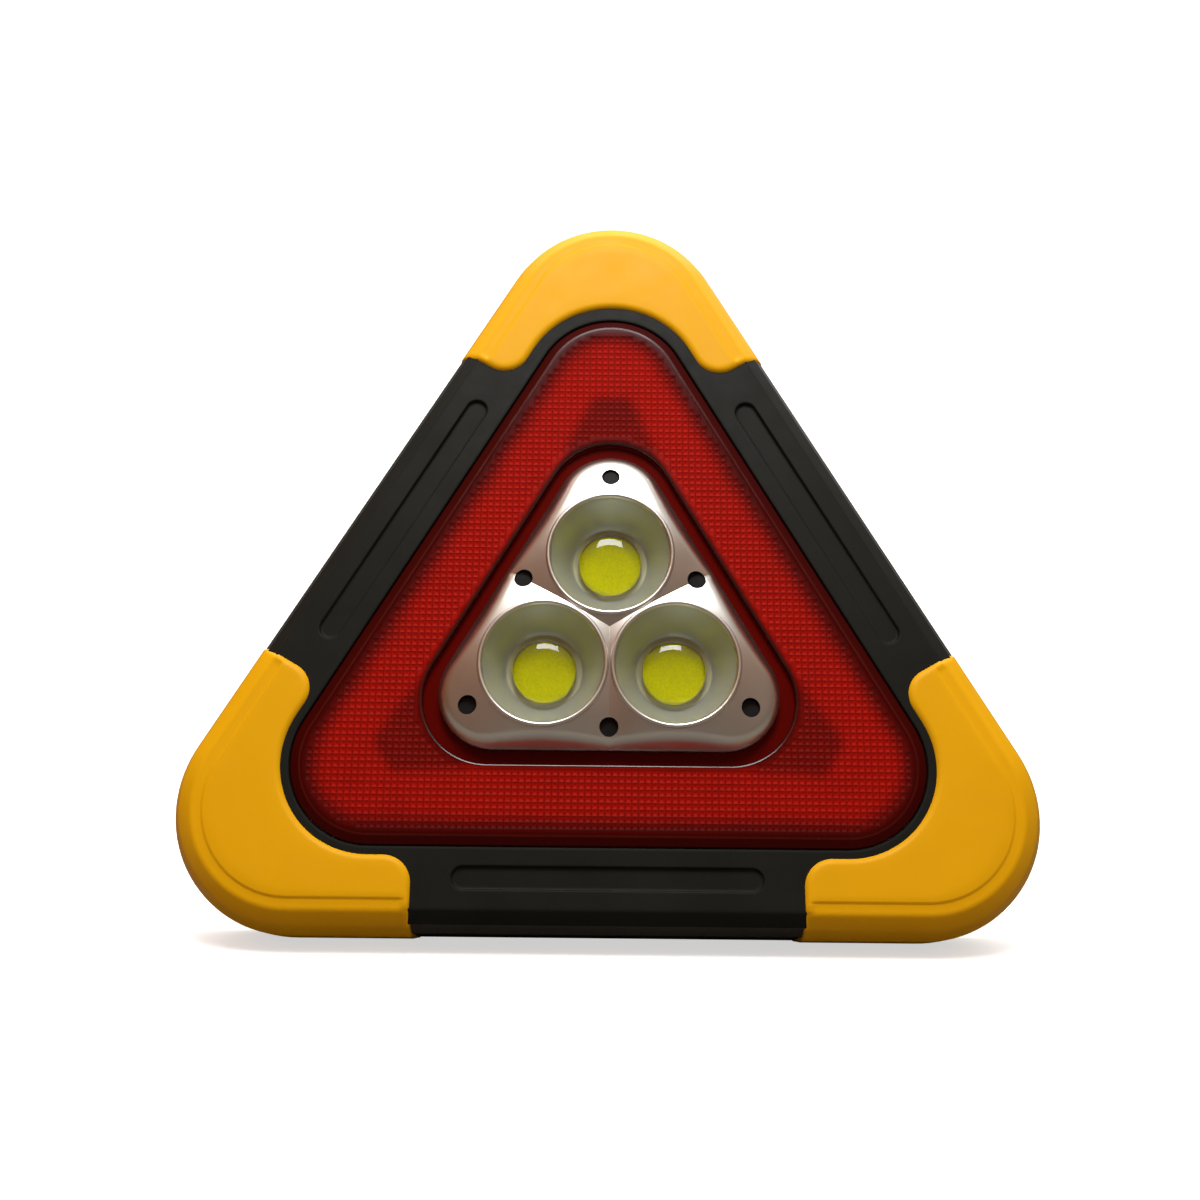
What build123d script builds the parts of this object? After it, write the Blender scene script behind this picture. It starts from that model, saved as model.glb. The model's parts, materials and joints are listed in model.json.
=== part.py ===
"""Battery work lamp in the shape of a warning triangle, with a swinging stand that is also its handle.

Every piece is drawn on the lamp's own plane, LAMP: x to the right, y up the face, z out of the front,
with 0 on the black frame's front face at the middle of the triangle. LAMP leans back on its stand, so
the finished pieces stand in the model's frame with +Z up and the floor at 0.
"""

import os
from math import acos, cos, degrees, radians, sin

from build123d import *

# ---- stance ----
LEAN = 16.7  # the face leans back this far from upright
REST_FLAT = 1.0  # depth of the flats that the lower bumpers rest on
SETBACK = -38.915  # brings the middle of the whole depth to y = 0

# ---- triangle outlines: corner arcs' centres at REACH from the middle, arcs of radius R ----
CASE_REACH = 112.6
LENS_REACH = 85.4
OPENING_REACH = 50.0
PLATE_REACH = 41.6
BUMPER_R = 39.3
SHELL_R = 38.2
FRAME_R = 35.8
FRAME_FACE_R = 31.4
CAVITY_R = 35.2
RIM_R = 31.0
LENS_R = 25.8
OPENING_R = 17.9
PLATE_R = 18.0

# ---- levels above (+) and behind (-) the frame's front face ----
PARTING = -3.0
SIDE_TOP = -9.0
SIDE_END = -30.0
BACK = -37.0
FLOOR_IN = -34.5
BUMPER_BACK = -37.4
CORE_BACK = -34.4
LENS_TOP = 1.0
FLANGE_TOP = -3.4
FLANGE_BACK = -5.2
TRAY_FLOOR = -12.4
TRAY_BACK = -13.6
SINK_TOP = -10.1
CUP_RIM = 8.0

# ---- reflector cups ----
CUP_REACH = 24.2
CUP_R = 20.15
CUP_LIP = 1.0
CUP_SEAT_R = 12.5
CUP_SEAT = -5.5
COLLAR_SLOPE = 0.29  # fall of the collar around each cup, per mm of radius
CUP_BEAD_R = 20.75  # the rim that rests on the plate round each hole
CUP_BEAD = 0.4
CUP_GAP = 0.05
DOME_R = 9.8
DOME_RISE = 5.5

# ---- bumpers ----
LOBE_END = 60.0  # from a side's midpoint to the end of each bumper
LOBE_FILLET = 9.0
INNER_R = 28.5  # the hollow inner edge, about the lens's corner
INNER_R_TOP = 31.5

# ---- stand and handle ----
PIVOT_Y = 50.0
PIVOT_Z = -43.5
LEG = 136.0
ARM_X = 59.5
BLOCK_X = 51.75  # middle of each pivot block
BLOCK_WIDE = 8.5
ARM_W = 6.4
ARM_D = 8.0
ARM_BEND = 20.0
EYE_R = 6.2
GRIP_R = 5.8
GRIP_HALF = 34.0
GRIP_LIFT = 5.2  # the crossbar's middle above the floor, under its radius, so the grip has a flat
SHOULDER_R = 3.0
PLAY = 0.05  # radial clearance of a running fit

# ---- screws: shank radius, head radius ----
SCREW_R = 1.3
SCREW_CLEAR = 1.6
HEAD_R = 2.9
HEAD_POCKET = 3.1

# ---- battery compartment ----
CELL_R = 9.15
CELL_LENGTH = 65.2
CELL_PITCH = 19.2
CELL_Z = -25.25
BOX_X = 35.6
BOX_LOW = -70.6
BOX_HIGH = -10.8
BOX_MID = -41.0
BOX_WALL = 1.6
BOX_FRONT = -16.0
HATCH_X = 36.6
HATCH_LOW = -71.6
HATCH_HIGH = -10.4
HINGE_Y = -13.0
HINGE_Z = -35.5
KNUCKLE_R = 1.4
COVER_PIN_R = 0.75

# ---- ports on the right-hand side wall ----
PORT_SIDE = 30.0
PORT_Z = -19.5
PORT_HINGE = 19.0
PORT_PIN_DEPTH = -1.3
PORT_KNUCKLE_R = 1.2
PORT_PIN_R = 0.6
SOCKET_BASE = -23.0

# ---- button and boards ----
BUTTON_Y = 80.0
BUTTON_R = 7.0
BOARD_TOP = -24.4
BOARD_THICK = 1.6

CORNERS = (90, 210, 330)
SIDES = (30, 150, 270)
LEAN_SIN = sin(radians(LEAN))
LEAN_COS = cos(radians(LEAN))
SIDE_REACH = CASE_REACH / 2 + BUMPER_R
LIFT = SIDE_REACH * LEAN_COS - SIDE_END * LEAN_SIN - REST_FLAT
LAMP = Plane(origin=(0, SETBACK, LIFT), x_dir=(1, 0, 0), z_dir=(0, -LEAN_COS, LEAN_SIN))

PIVOT = LAMP.from_local_coords((0, PIVOT_Y, PIVOT_Z))
LEG_TILT = degrees(acos((PIVOT.Z - GRIP_LIFT) / LEG))
LEG_SIN = sin(radians(LEG_TILT))
LEG_COS = cos(radians(LEG_TILT))
STAND = Plane(origin=PIVOT, x_dir=(1, 0, 0), z_dir=(0, -LEG_COS, -LEG_SIN))
UPWARD = (Align.CENTER, Align.CENTER, Align.MIN)


def on_side(angle, out, along):
    """Point on LAMP at a distance out along a side's normal and along from its midpoint."""
    a = radians(angle)
    return (out * cos(a) - along * sin(a), out * sin(a) + along * cos(a))


def on_corner(angle, out, across):
    """Point on LAMP at a distance out along a corner's direction and across from it."""
    return on_side(angle, out, across)


def triangle(reach, radius, mode=Mode.ADD):
    """Rounded triangle in a sketch."""
    tips = [on_corner(angle, reach, 0) for angle in CORNERS]
    core = Polygon(*tips, align=None, mode=Mode.PRIVATE)
    return offset(core, amount=radius, kind=Kind.ARC, mode=mode)


def prism(reach, radius, low, high, mode=Mode.ADD):
    """Rounded triangle extruded between two levels."""
    with BuildSketch(LAMP.offset(low)) as outline:
        triangle(reach, radius)
    extrude(outline.sketch, amount=high - low, mode=mode)


def ring(outer, inner, low, high, mode=Mode.ADD):
    """Band between two rounded triangles, each given as (reach, radius)."""
    with BuildSketch(LAMP.offset(low)) as outline:
        triangle(*outer)
        triangle(*inner, mode=Mode.SUBTRACT)
    extrude(outline.sketch, amount=high - low, mode=mode)


def layers(reach, steps, mode=Mode.ADD):
    """Stack of straight-sided layers through (level, radius) steps: a bevelled triangular body."""
    for (low, low_r), (high, high_r) in zip(steps, steps[1:]):
        if low_r == high_r:
            prism(reach, low_r, low, high, mode=mode)
            continue
        with BuildSketch(LAMP.offset(low)) as base:
            triangle(reach, low_r)
        with BuildSketch(LAMP.offset(high)) as top:
            triangle(reach, high_r)
        loft([base.sketch, top.sketch], ruled=True, mode=mode)


def rods(points, radius, low, high, mode=Mode.ADD):
    """Round rods or holes along z at points on LAMP."""
    with BuildSketch(LAMP.offset(low)) as section:
        with Locations(*points):
            Circle(radius)
    extrude(section.sketch, amount=high - low, mode=mode)


def bricks(points, width, height, low, high, turn=0, mode=Mode.ADD):
    """Rectangular blocks or pockets along z at points on LAMP, turned by an angle."""
    with BuildSketch(LAMP.offset(low)) as section:
        with Locations(*points):
            Rectangle(width, height, rotation=turn)
    extrude(section.sketch, amount=high - low, mode=mode)


def slab(left, right, bottom, top, low, high, mode=Mode.ADD):
    """Block or pocket given by its edges on LAMP."""
    middle = ((left + right) / 2, (bottom + top) / 2)
    bricks([middle], right - left, top - bottom, low, high, mode=mode)


def pan_screws(points, head_low, head_high, shank_low, shank_high, shank_r=SCREW_R, head_r=HEAD_R):
    """Pan-head screws along z."""
    rods(points, head_r, head_low, head_high)
    rods(points, shank_r, shank_low, shank_high)


# ---- shared positions ----
CASE_SCREWS = [on_side(side, 78.5, along) for side in SIDES for along in (-38, 38)]
TRAY_SCREWS = [on_side(side, 75.5, along) for side in SIDES for along in (-15, 15)]
BUMPER_SCREWS = {corner: [on_corner(corner, 124.6, across) for across in (-20, 20)] for corner in CORNERS}
ALL_BUMPER_SCREWS = [point for corner in CORNERS for point in BUMPER_SCREWS[corner]]
PLATE_SCREWS = [on_corner(corner, 51.2, 0) for corner in CORNERS] + [on_side(side, 32.15, 0) for side in SIDES]
SINK_SCREWS = [on_corner(corner, 43.0, 0) for corner in CORNERS]
CUPS = [on_corner(corner, CUP_REACH, 0) for corner in CORNERS]
BOARD_SCREWS = [(x, BUTTON_Y + y) for x in (-20, 20) for y in (-12, 12)]
PORT_SCREWS = [on_side(PORT_SIDE, 80, along) for along in (-18, 15)]
BLOCK_SCREWS = [(x, PIVOT_Y + y) for x in (-BLOCK_X, BLOCK_X) for y in (-8.4, 8.4)]
BOX_EARS = [(x, BOX_MID + y) for x in (-40.6, 40.6) for y in (-22, 22)]
INDICATOR = (0, BUTTON_Y - 13.5)
BOARD_EDGE = BUTTON_Y - 17.0
PORT_WALL = Plane(
    LAMP.location
    * Location((*on_side(PORT_SIDE, CASE_REACH / 2 + SHELL_R, 0), PORT_Z), (0, 0, PORT_SIDE))
    * Plane.YZ.location
)


def corner_zone(corner, mode):
    """Plan of one bumper: outside the lens's surround and past the ends of the two sides."""
    inner = INNER_R_TOP if corner == 90 else INNER_R
    with BuildSketch(LAMP.offset(BUMPER_BACK - 5)) as plan:
        triangle(CASE_REACH, BUMPER_R + 20)
        triangle(LENS_REACH, inner, mode=Mode.SUBTRACT)
        for side in SIDES:
            with Locations(on_side(side, 110, 0)):
                Rectangle(100, 2 * LOBE_END, rotation=side, mode=Mode.SUBTRACT)
    toward = on_corner(corner, 1, 0)
    zone = max(plan.sketch.faces(), key=lambda f: LAMP.to_local_coords(f.center()).dot(Vector(*toward)))
    edge = LENS_REACH / 2 + inner
    lobes = []
    for side, along in ((corner - 60, LOBE_END), (corner + 60, -LOBE_END)):
        tip = LAMP.offset(BUMPER_BACK - 5).from_local_coords((*on_side(side, edge, along), 0))
        lobes.append(min(zone.vertices(), key=lambda v: (Vector(v) - tip).length))
    zone = zone.fillet_2d(LOBE_FILLET, lobes)
    extrude(zone, amount=CUP_RIM + 10 - BUMPER_BACK, mode=mode)


CORE_LAYERS = [(CORE_BACK, 32.6), (SIDE_END, 37.0), (SIDE_TOP, 37.0), (-3.2, 34.2), (-1.4, 31.0)]
BUMPER_LAYERS = [(BUMPER_BACK, 33.0), (SIDE_END, BUMPER_R), (SIDE_TOP, BUMPER_R), (-3.2, 36.6), (0.6, 31.9)]

with BuildPart() as bumper_ground:  # what the bumpers take off the case that they cap
    for corner in CORNERS:
        corner_zone(corner, Mode.ADD)
    layers(CASE_REACH, CORE_LAYERS, mode=Mode.SUBTRACT)

# ================= housing =================

with BuildPart() as front_frame:
    layers(CASE_REACH, [(PARTING, FRAME_R), (0, FRAME_FACE_R)])
    ring((CASE_REACH, 30.8), (CASE_REACH, 29.2), -7, PARTING)
    ring((LENS_REACH, 30.3), (LENS_REACH, 29.1), -5, PARTING)
    rods(CASE_SCREWS, 3.5, -20, PARTING)
    rods(TRAY_SCREWS, 3.0, FLANGE_BACK, PARTING)
    prism(LENS_REACH, LENS_R + 0.3, PARTING, 0, mode=Mode.SUBTRACT)
    rods(CASE_SCREWS, SCREW_R, -20, -6, mode=Mode.SUBTRACT)
    rods(TRAY_SCREWS, 1.1, FLANGE_BACK, -1.6, mode=Mode.SUBTRACT)
    with BuildSketch(LAMP) as grooves:
        with PolarLocations(78.2, 3, start_angle=30):
            SlotOverall(96.5, 7.8, rotation=90)
    extrude(grooves.sketch, amount=-1.2, mode=Mode.SUBTRACT)
    add(bumper_ground.part, mode=Mode.SUBTRACT)

with BuildPart() as back_shell:
    layers(CASE_REACH, [(BACK, 31.2), (-29, SHELL_R), (-7.5, SHELL_R), (PARTING, FRAME_R)])
    add(bumper_ground.part, mode=Mode.SUBTRACT)
    prism(CASE_REACH, RIM_R, SIDE_TOP, PARTING, mode=Mode.SUBTRACT)
    prism(CASE_REACH, CAVITY_R, -29.5, SIDE_TOP, mode=Mode.SUBTRACT)
    prism(CASE_REACH, 32.0, -32.4, -29.5, mode=Mode.SUBTRACT)
    with BuildSketch(LAMP.offset(FLOOR_IN)) as low_floor:
        triangle(CASE_REACH, 29.5)
        Circle(90, mode=Mode.INTERSECT)
    extrude(low_floor.sketch, amount=-32.4 - FLOOR_IN, mode=Mode.SUBTRACT)
    ring((CASE_REACH, 32.6), (CASE_REACH, 31.6), -3.8, PARTING, mode=Mode.SUBTRACT)
    # screw tubes, board posts and the thick pad behind the ports
    rods(CASE_SCREWS, 4.2, FLOOR_IN, -20)
    rods(ALL_BUMPER_SCREWS, 3.6, CORE_BACK, -22)
    rods(BOARD_SCREWS, 3.0, FLOOR_IN, BOARD_TOP - BOARD_THICK)
    rods(PORT_SCREWS, 2.5, FLOOR_IN, SOCKET_BASE - BOARD_THICK)
    with BuildSketch(PORT_WALL.offset(-6)) as pad:
        with Locations((1, 0)):
            Rectangle(50, 18)
    extrude(pad.sketch, amount=4)
    rods(CASE_SCREWS, SCREW_CLEAR, BACK, -20, mode=Mode.SUBTRACT)
    rods(CASE_SCREWS, HEAD_POCKET, BACK, -27, mode=Mode.SUBTRACT)
    rods(ALL_BUMPER_SCREWS, SCREW_R, CORE_BACK, -24, mode=Mode.SUBTRACT)
    rods(BOARD_SCREWS, 1.1, -32, BOARD_TOP - BOARD_THICK, mode=Mode.SUBTRACT)
    rods(PORT_SCREWS, 1.1, -30, SOCKET_BASE - BOARD_THICK, mode=Mode.SUBTRACT)
    rods(BLOCK_SCREWS, SCREW_CLEAR, BACK, FLOOR_IN, mode=Mode.SUBTRACT)
    # openings in the back: battery hatch, button, light pipe
    slab(-HATCH_X, HATCH_X, HATCH_LOW, HATCH_HIGH, BACK, FLOOR_IN, mode=Mode.SUBTRACT)
    rods([(0, HATCH_LOW)], 8.0, BACK, BACK + 1.4, mode=Mode.SUBTRACT)
    rods([(0, BUTTON_Y)], BUTTON_R + 0.35, BACK, FLOOR_IN, mode=Mode.SUBTRACT)
    rods([INDICATOR], 1.5, BACK, FLOOR_IN, mode=Mode.SUBTRACT)
    rods(BOX_EARS, 1.1, -36.3, FLOOR_IN, mode=Mode.SUBTRACT)
    hatch_pin = Plane(LAMP.location * Location((-38.6, HINGE_Y, HINGE_Z)) * Plane.YZ.location)
    with BuildSketch(hatch_pin) as hatch_bore:
        Circle(COVER_PIN_R)
    extrude(hatch_bore.sketch, amount=2 * 38.6, mode=Mode.SUBTRACT)
    # recess, sockets' holes and pin bore for the port cover
    with BuildSketch(PORT_WALL) as recess:
        with Locations((1.25, 0)):
            Rectangle(39.5, 12.8)
    extrude(recess.sketch, amount=-2.0, mode=Mode.SUBTRACT)
    with BuildSketch(PORT_WALL) as knuckle_pocket:
        with Locations((PORT_HINGE, 0)):
            Rectangle(4.0, 12.8)
    extrude(knuckle_pocket.sketch, amount=-3.2, mode=Mode.SUBTRACT)
    with BuildSketch(PORT_WALL) as socket_holes:
        with Locations((-7.5, 0)):
            Rectangle(14.4, 7.0)
        with Locations((8.0, -2.1)):
            Rectangle(8.0, 2.8)
    extrude(socket_holes.sketch, amount=-6.5, mode=Mode.SUBTRACT)
    with Locations(PORT_WALL.location * Location((PORT_HINGE, 0, PORT_PIN_DEPTH), (90, 0, 0))):
        Cylinder(PORT_PIN_R, 16.0, mode=Mode.SUBTRACT)

with BuildPart() as pivot_blocks:  # feet for the stand's pivots, held from inside the back
    for x in (-BLOCK_X, BLOCK_X):
        middle = LAMP.location * Location((x - BLOCK_WIDE / 2, PIVOT_Y, PIVOT_Z))
        pivot_plane = Plane(middle * Plane.YZ.location)
        with BuildSketch(pivot_plane) as lug:
            Circle(6.0)
            with Locations((0, (BACK - PIVOT_Z) / 2)):
                Rectangle(12.0, BACK - PIVOT_Z)
            with Locations((0, BACK - PIVOT_Z - 1.6)):
                Rectangle(22.0, 3.2)
        extrude(lug.sketch, amount=BLOCK_WIDE)
        with BuildSketch(pivot_plane) as bore:
            Circle(2.0)
        extrude(bore.sketch, amount=BLOCK_WIDE, mode=Mode.SUBTRACT)
    rods(BLOCK_SCREWS, SCREW_R, BACK - 2.4, BACK, mode=Mode.SUBTRACT)

with BuildPart() as pivot_block_screws:
    pan_screws(BLOCK_SCREWS, FLOOR_IN, FLOOR_IN + 1.6, BACK - 2.2, FLOOR_IN, head_r=2.4)

with BuildPart() as case_gasket:
    ring((CASE_REACH, 32.6), (CASE_REACH, 31.6), -3.8, PARTING)

with BuildPart() as case_screws:
    pan_screws(CASE_SCREWS, -29, -27, -27, -8)


def bumper(corner):
    """Hollow corner cap with a raised panel on its face, screwed on from behind."""
    points = BUMPER_SCREWS[corner]
    with BuildPart() as cap:
        layers(CASE_REACH, BUMPER_LAYERS)
        layers(CASE_REACH, [(0.6, 28.6), (1.2, 28.0)])
        corner_zone(corner, Mode.INTERSECT)
        layers(CASE_REACH, CORE_LAYERS, mode=Mode.SUBTRACT)
        rods(points, HEAD_POCKET, BUMPER_BACK, BUMPER_BACK + 1.6, mode=Mode.SUBTRACT)
        rods(points, SCREW_CLEAR, BUMPER_BACK, CORE_BACK, mode=Mode.SUBTRACT)
        split(bisect_by=Plane.XY, keep=Keep.TOP)
    return cap.part


bumper_top, bumper_left, bumper_right = [bumper(corner) for corner in CORNERS]

with BuildPart() as bumper_screws:
    pan_screws(ALL_BUMPER_SCREWS, BUMPER_BACK, -35.8, -35.8, -25)

# ================= red warning ring =================

with BuildPart() as red_lens:
    prism(LENS_REACH, 28.8, FLANGE_BACK, FLANGE_TOP)
    layers(LENS_REACH, [(FLANGE_TOP, LENS_R), (-0.4, LENS_R), (LENS_TOP, 22.6)])
    prism(LENS_REACH, 24.0, FLANGE_BACK, -1.4, mode=Mode.SUBTRACT)
    prism(OPENING_REACH, OPENING_R, FLANGE_BACK, LENS_TOP, mode=Mode.SUBTRACT)
    ring((OPENING_REACH, OPENING_R + 1.0), (OPENING_REACH, OPENING_R), -3.5, -1.4)
    ring((OPENING_REACH, OPENING_R + 1.0), (PLATE_REACH, 16.2), -3.5, -1.5)

with BuildPart() as lens_gasket:
    ring((LENS_REACH, 28.6), (LENS_REACH, 26.4), FLANGE_TOP, PARTING)

with BuildPart() as light_tray:
    ring((LENS_REACH, 23.3), (36.0, 12.0), TRAY_BACK, TRAY_FLOOR)
    ring((LENS_REACH, 23.3), (LENS_REACH, 22.1), TRAY_FLOOR, FLANGE_BACK)
    ring((OPENING_REACH, 20.4), (OPENING_REACH, 19.2), TRAY_FLOOR, -1.6)
    ring((LENS_REACH, 28.8), (LENS_REACH, 22.1), -7, FLANGE_BACK)
    rods(TRAY_SCREWS, 3.0, -7, FLANGE_BACK)
    for side in SIDES:
        bricks([on_side(side, 73.0, along) for along in (-15, 15)], 5.0, 6.0, -7, FLANGE_BACK, turn=side)
    rods(TRAY_SCREWS, 1.3, -7, FLANGE_BACK, mode=Mode.SUBTRACT)
    rods(SINK_SCREWS, 1.4, TRAY_BACK, TRAY_FLOOR, mode=Mode.SUBTRACT)

with BuildPart() as tray_screws:
    pan_screws(TRAY_SCREWS, -8.6, -7, -7, -1.8, shank_r=1.1, head_r=2.4)


def led_strip(side):
    """Long circuit board in the light tray, along one side."""
    with BuildPart() as strip:
        bricks([on_side(side, 54.5, 0)], 9.0, 96.0, TRAY_FLOOR, -10.8, turn=side)
    return strip.part


led_strip_right, led_strip_left, led_strip_lower = [led_strip(side) for side in SIDES]

with BuildPart() as red_leds:
    for side in SIDES:
        spots = [on_side(side, 54.5, along) for along in (-40, -24, -8, 8, 24, 40)]
        bricks(spots, 3.5, 3.5, -10.8, -9.6, turn=side)

# ================= white lamps =================

COLLAR_FOOT = -1.5
PLATE_WALL = 2.0
COLLAR_HEIGHT = CUP_RIM - COLLAR_FOOT
COLLAR_FOOT_R = CUP_R + COLLAR_HEIGHT / COLLAR_SLOPE
PLATE_LAYERS = [(COLLAR_FOOT, PLATE_R), (1.4, PLATE_R), (CUP_RIM, 14.0)]
CUP_DEPTH = CUP_RIM - CUP_SEAT


def collars(lowered):
    """Three wide cones that fall away from the cups' rims."""
    for x, y in CUPS:
        with Locations(LAMP.location * Location((x, y, COLLAR_FOOT - lowered))):
            Cone(COLLAR_FOOT_R, CUP_R, COLLAR_HEIGHT, align=UPWARD)


def cup_cones(grown, mode):
    """The cups' tapered walls, grown outward."""
    for x, y in CUPS:
        with Locations(LAMP.location * Location((x, y, CUP_SEAT))):
            Cone(CUP_SEAT_R + grown, CUP_R - CUP_LIP + grown, CUP_DEPTH, align=UPWARD, mode=mode)


with BuildPart() as plate_outside:
    layers(PLATE_REACH, PLATE_LAYERS)

with BuildPart() as plate_inside:
    layers(PLATE_REACH, [(level, radius - PLATE_WALL) for level, radius in PLATE_LAYERS])

with BuildPart() as plate_hollow:
    collars(PLATE_WALL)
    add(plate_inside.part, mode=Mode.INTERSECT)

with BuildPart() as reflector_plate:
    collars(0.0)
    add(plate_outside.part, mode=Mode.INTERSECT)
    add(plate_hollow.part, mode=Mode.SUBTRACT)
    rods(PLATE_SCREWS, 4.0, SINK_TOP, 4.0)
    cup_cones(CUP_LIP + CUP_GAP, Mode.SUBTRACT)
    rods(PLATE_SCREWS, SCREW_CLEAR, SINK_TOP, CUP_RIM, mode=Mode.SUBTRACT)
    rods(PLATE_SCREWS, 3.0, 2.4, CUP_RIM, mode=Mode.SUBTRACT)

with BuildPart() as reflector_cups:
    cup_cones(CUP_LIP, Mode.ADD)
    rods(CUPS, CUP_SEAT_R + CUP_LIP, CUP_SEAT - 1.5, CUP_SEAT)
    rods(CUPS, CUP_BEAD_R, CUP_RIM, CUP_RIM + CUP_BEAD)
    cup_cones(0.0, Mode.SUBTRACT)
    rods(CUPS, CUP_R - CUP_LIP, CUP_RIM, CUP_RIM + CUP_BEAD, mode=Mode.SUBTRACT)
    rods(CUPS, DOME_R + 0.15, CUP_SEAT - 1.5, CUP_SEAT, mode=Mode.SUBTRACT)

with BuildPart() as reflector_screws:
    pan_screws(PLATE_SCREWS, 2.4, 4.2, -12.0, 2.4, shank_r=1.4, head_r=2.8)


def cob_dome(corner):
    """Clear dome lens with the flange that the cup clamps."""
    spot = on_corner(corner, CUP_REACH, 0)
    foot = CUP_SEAT - 1.5
    ball_r = (DOME_R**2 + DOME_RISE**2) / (2 * DOME_RISE)
    with BuildPart() as dome:
        with Locations(LAMP.location * Location((*spot, foot + DOME_RISE - ball_r))):
            Sphere(ball_r)
        split(bisect_by=LAMP.offset(foot), keep=Keep.TOP)
        rods([spot], 11.5, -8.6, foot)
        rods([spot], 9.2, -8.6, -7.6, mode=Mode.SUBTRACT)
    return dome.part


def cob_emitter(corner):
    """Yellow phosphor disc."""
    with BuildPart() as disc:
        rods([on_corner(corner, CUP_REACH, 0)], 8.6, -8.6, -7.9)
    return disc.part


def cob_board(corner):
    """Square aluminium board under each emitter."""
    with BuildPart() as board:
        bricks([on_corner(corner, CUP_REACH, 0)], 24.0, 24.0, SINK_TOP, -8.6, turn=corner)
    return board.part


cob_dome_top, cob_dome_left, cob_dome_right = [cob_dome(corner) for corner in CORNERS]
cob_emitter_top, cob_emitter_left, cob_emitter_right = [cob_emitter(corner) for corner in CORNERS]
cob_board_top, cob_board_left, cob_board_right = [cob_board(corner) for corner in CORNERS]

with BuildPart() as heat_sink:
    prism(PLATE_REACH, 16.0, TRAY_FLOOR, SINK_TOP)
    rods([(0, 0)], 5.0, TRAY_FLOOR, SINK_TOP, mode=Mode.SUBTRACT)
    rods(PLATE_SCREWS, 1.4, TRAY_FLOOR, SINK_TOP, mode=Mode.SUBTRACT)
    rods(SINK_SCREWS, 1.4, TRAY_FLOOR, -10.6, mode=Mode.SUBTRACT)

with BuildPart() as heat_sink_screws:
    pan_screws(SINK_SCREWS, -14.8, TRAY_BACK, TRAY_BACK, -10.6, shank_r=1.4, head_r=2.6)

# ================= electronics =================

with BuildPart() as main_board:
    slab(-25, 25, BOARD_EDGE, BUTTON_Y + 17, BOARD_TOP - BOARD_THICK, BOARD_TOP)
    rods(BOARD_SCREWS, 1.1, BOARD_TOP - BOARD_THICK, BOARD_TOP, mode=Mode.SUBTRACT)

with BuildPart() as board_parts:
    rods([(-8, BUTTON_Y + 6), (6, BUTTON_Y + 8)], 3.2, BOARD_TOP, BOARD_TOP + 8)
    slab(-6, 2, BUTTON_Y - 11, BUTTON_Y - 5, BOARD_TOP, BOARD_TOP + 1.6)
    slab(8, 14, BUTTON_Y - 9, BUTTON_Y - 3, BOARD_TOP, BOARD_TOP + 3.0)

with BuildPart() as tact_switch:
    slab(-3, 3, BUTTON_Y - 3, BUTTON_Y + 3, -29.0, BOARD_TOP - BOARD_THICK)
    rods([(0, BUTTON_Y)], 1.7, -29.6, -29.0)

with BuildPart() as port_board:
    bricks([on_side(PORT_SIDE, 82.4, -1)], 12.0, 40.0, SOCKET_BASE - BOARD_THICK, SOCKET_BASE, turn=PORT_SIDE)
    rods(PORT_SCREWS, 1.1, SOCKET_BASE - BOARD_THICK, SOCKET_BASE, mode=Mode.SUBTRACT)

with BuildPart() as board_screws:
    pan_screws(BOARD_SCREWS, BOARD_TOP, BOARD_TOP + 1.6, -31, BOARD_TOP, shank_r=1.1, head_r=2.2)
    pan_screws(PORT_SCREWS, SOCKET_BASE, SOCKET_BASE + 1.6, -29, SOCKET_BASE, shank_r=1.1, head_r=2.2)


def socket(middle, width, height, deep, tongue):
    """Metal connector shell with a tongue, its mouth in the side wall."""
    with BuildPart() as shell:
        with BuildSketch(PORT_WALL.offset(-2.2)) as body:
            with Locations(middle):
                Rectangle(width, height)
        extrude(body.sketch, amount=-deep)
        with BuildSketch(PORT_WALL.offset(-2.2)) as mouth:
            with Locations(middle):
                Rectangle(width - 1.2, height - 1.2)
        extrude(mouth.sketch, amount=1.0 - deep, mode=Mode.SUBTRACT)
        with BuildSketch(PORT_WALL.offset(-3.2)) as blade:
            with Locations((middle[0], middle[1] + tongue / 2)):
                Rectangle(width - 3.0, tongue)
        extrude(blade.sketch, amount=1.5 - deep)
    return shell.part


usb_socket = socket((-7.5, 0.0), 14.2, 7.0, 14.0, 2.0)
charge_socket = socket((8.0, -2.1), 7.8, 2.8, 6.0, 0.6)

with BuildPart() as charge_indicator:
    rods([INDICATOR], 1.5, BACK, BOARD_TOP - BOARD_THICK)

with BuildPart() as power_button:
    rods([(0, BUTTON_Y)], BUTTON_R, -38.4, -32.7)
    rods([(0, BUTTON_Y)], 8.6, -34.2, -32.7)
    rods([(0, BUTTON_Y)], 2.0, -32.7, -31.0)

# ================= battery compartment =================

with BuildPart() as battery_box:
    outer = BOX_X + BOX_WALL
    slab(-outer, outer, BOX_LOW - BOX_WALL, BOX_HIGH + BOX_WALL, FLOOR_IN, BOX_FRONT + 1.0)
    slab(-BOX_X, BOX_X, BOX_LOW, BOX_HIGH, FLOOR_IN, BOX_FRONT, mode=Mode.SUBTRACT)
    bricks(BOX_EARS, 7.4, 8.0, FLOOR_IN, -32.5)
    rods(BOX_EARS, 1.4, FLOOR_IN, -32.5, mode=Mode.SUBTRACT)

with BuildPart() as battery_box_screws:
    pan_screws(BOX_EARS, -32.5, -30.9, -36.2, -32.5, shank_r=1.1, head_r=2.2)


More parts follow.
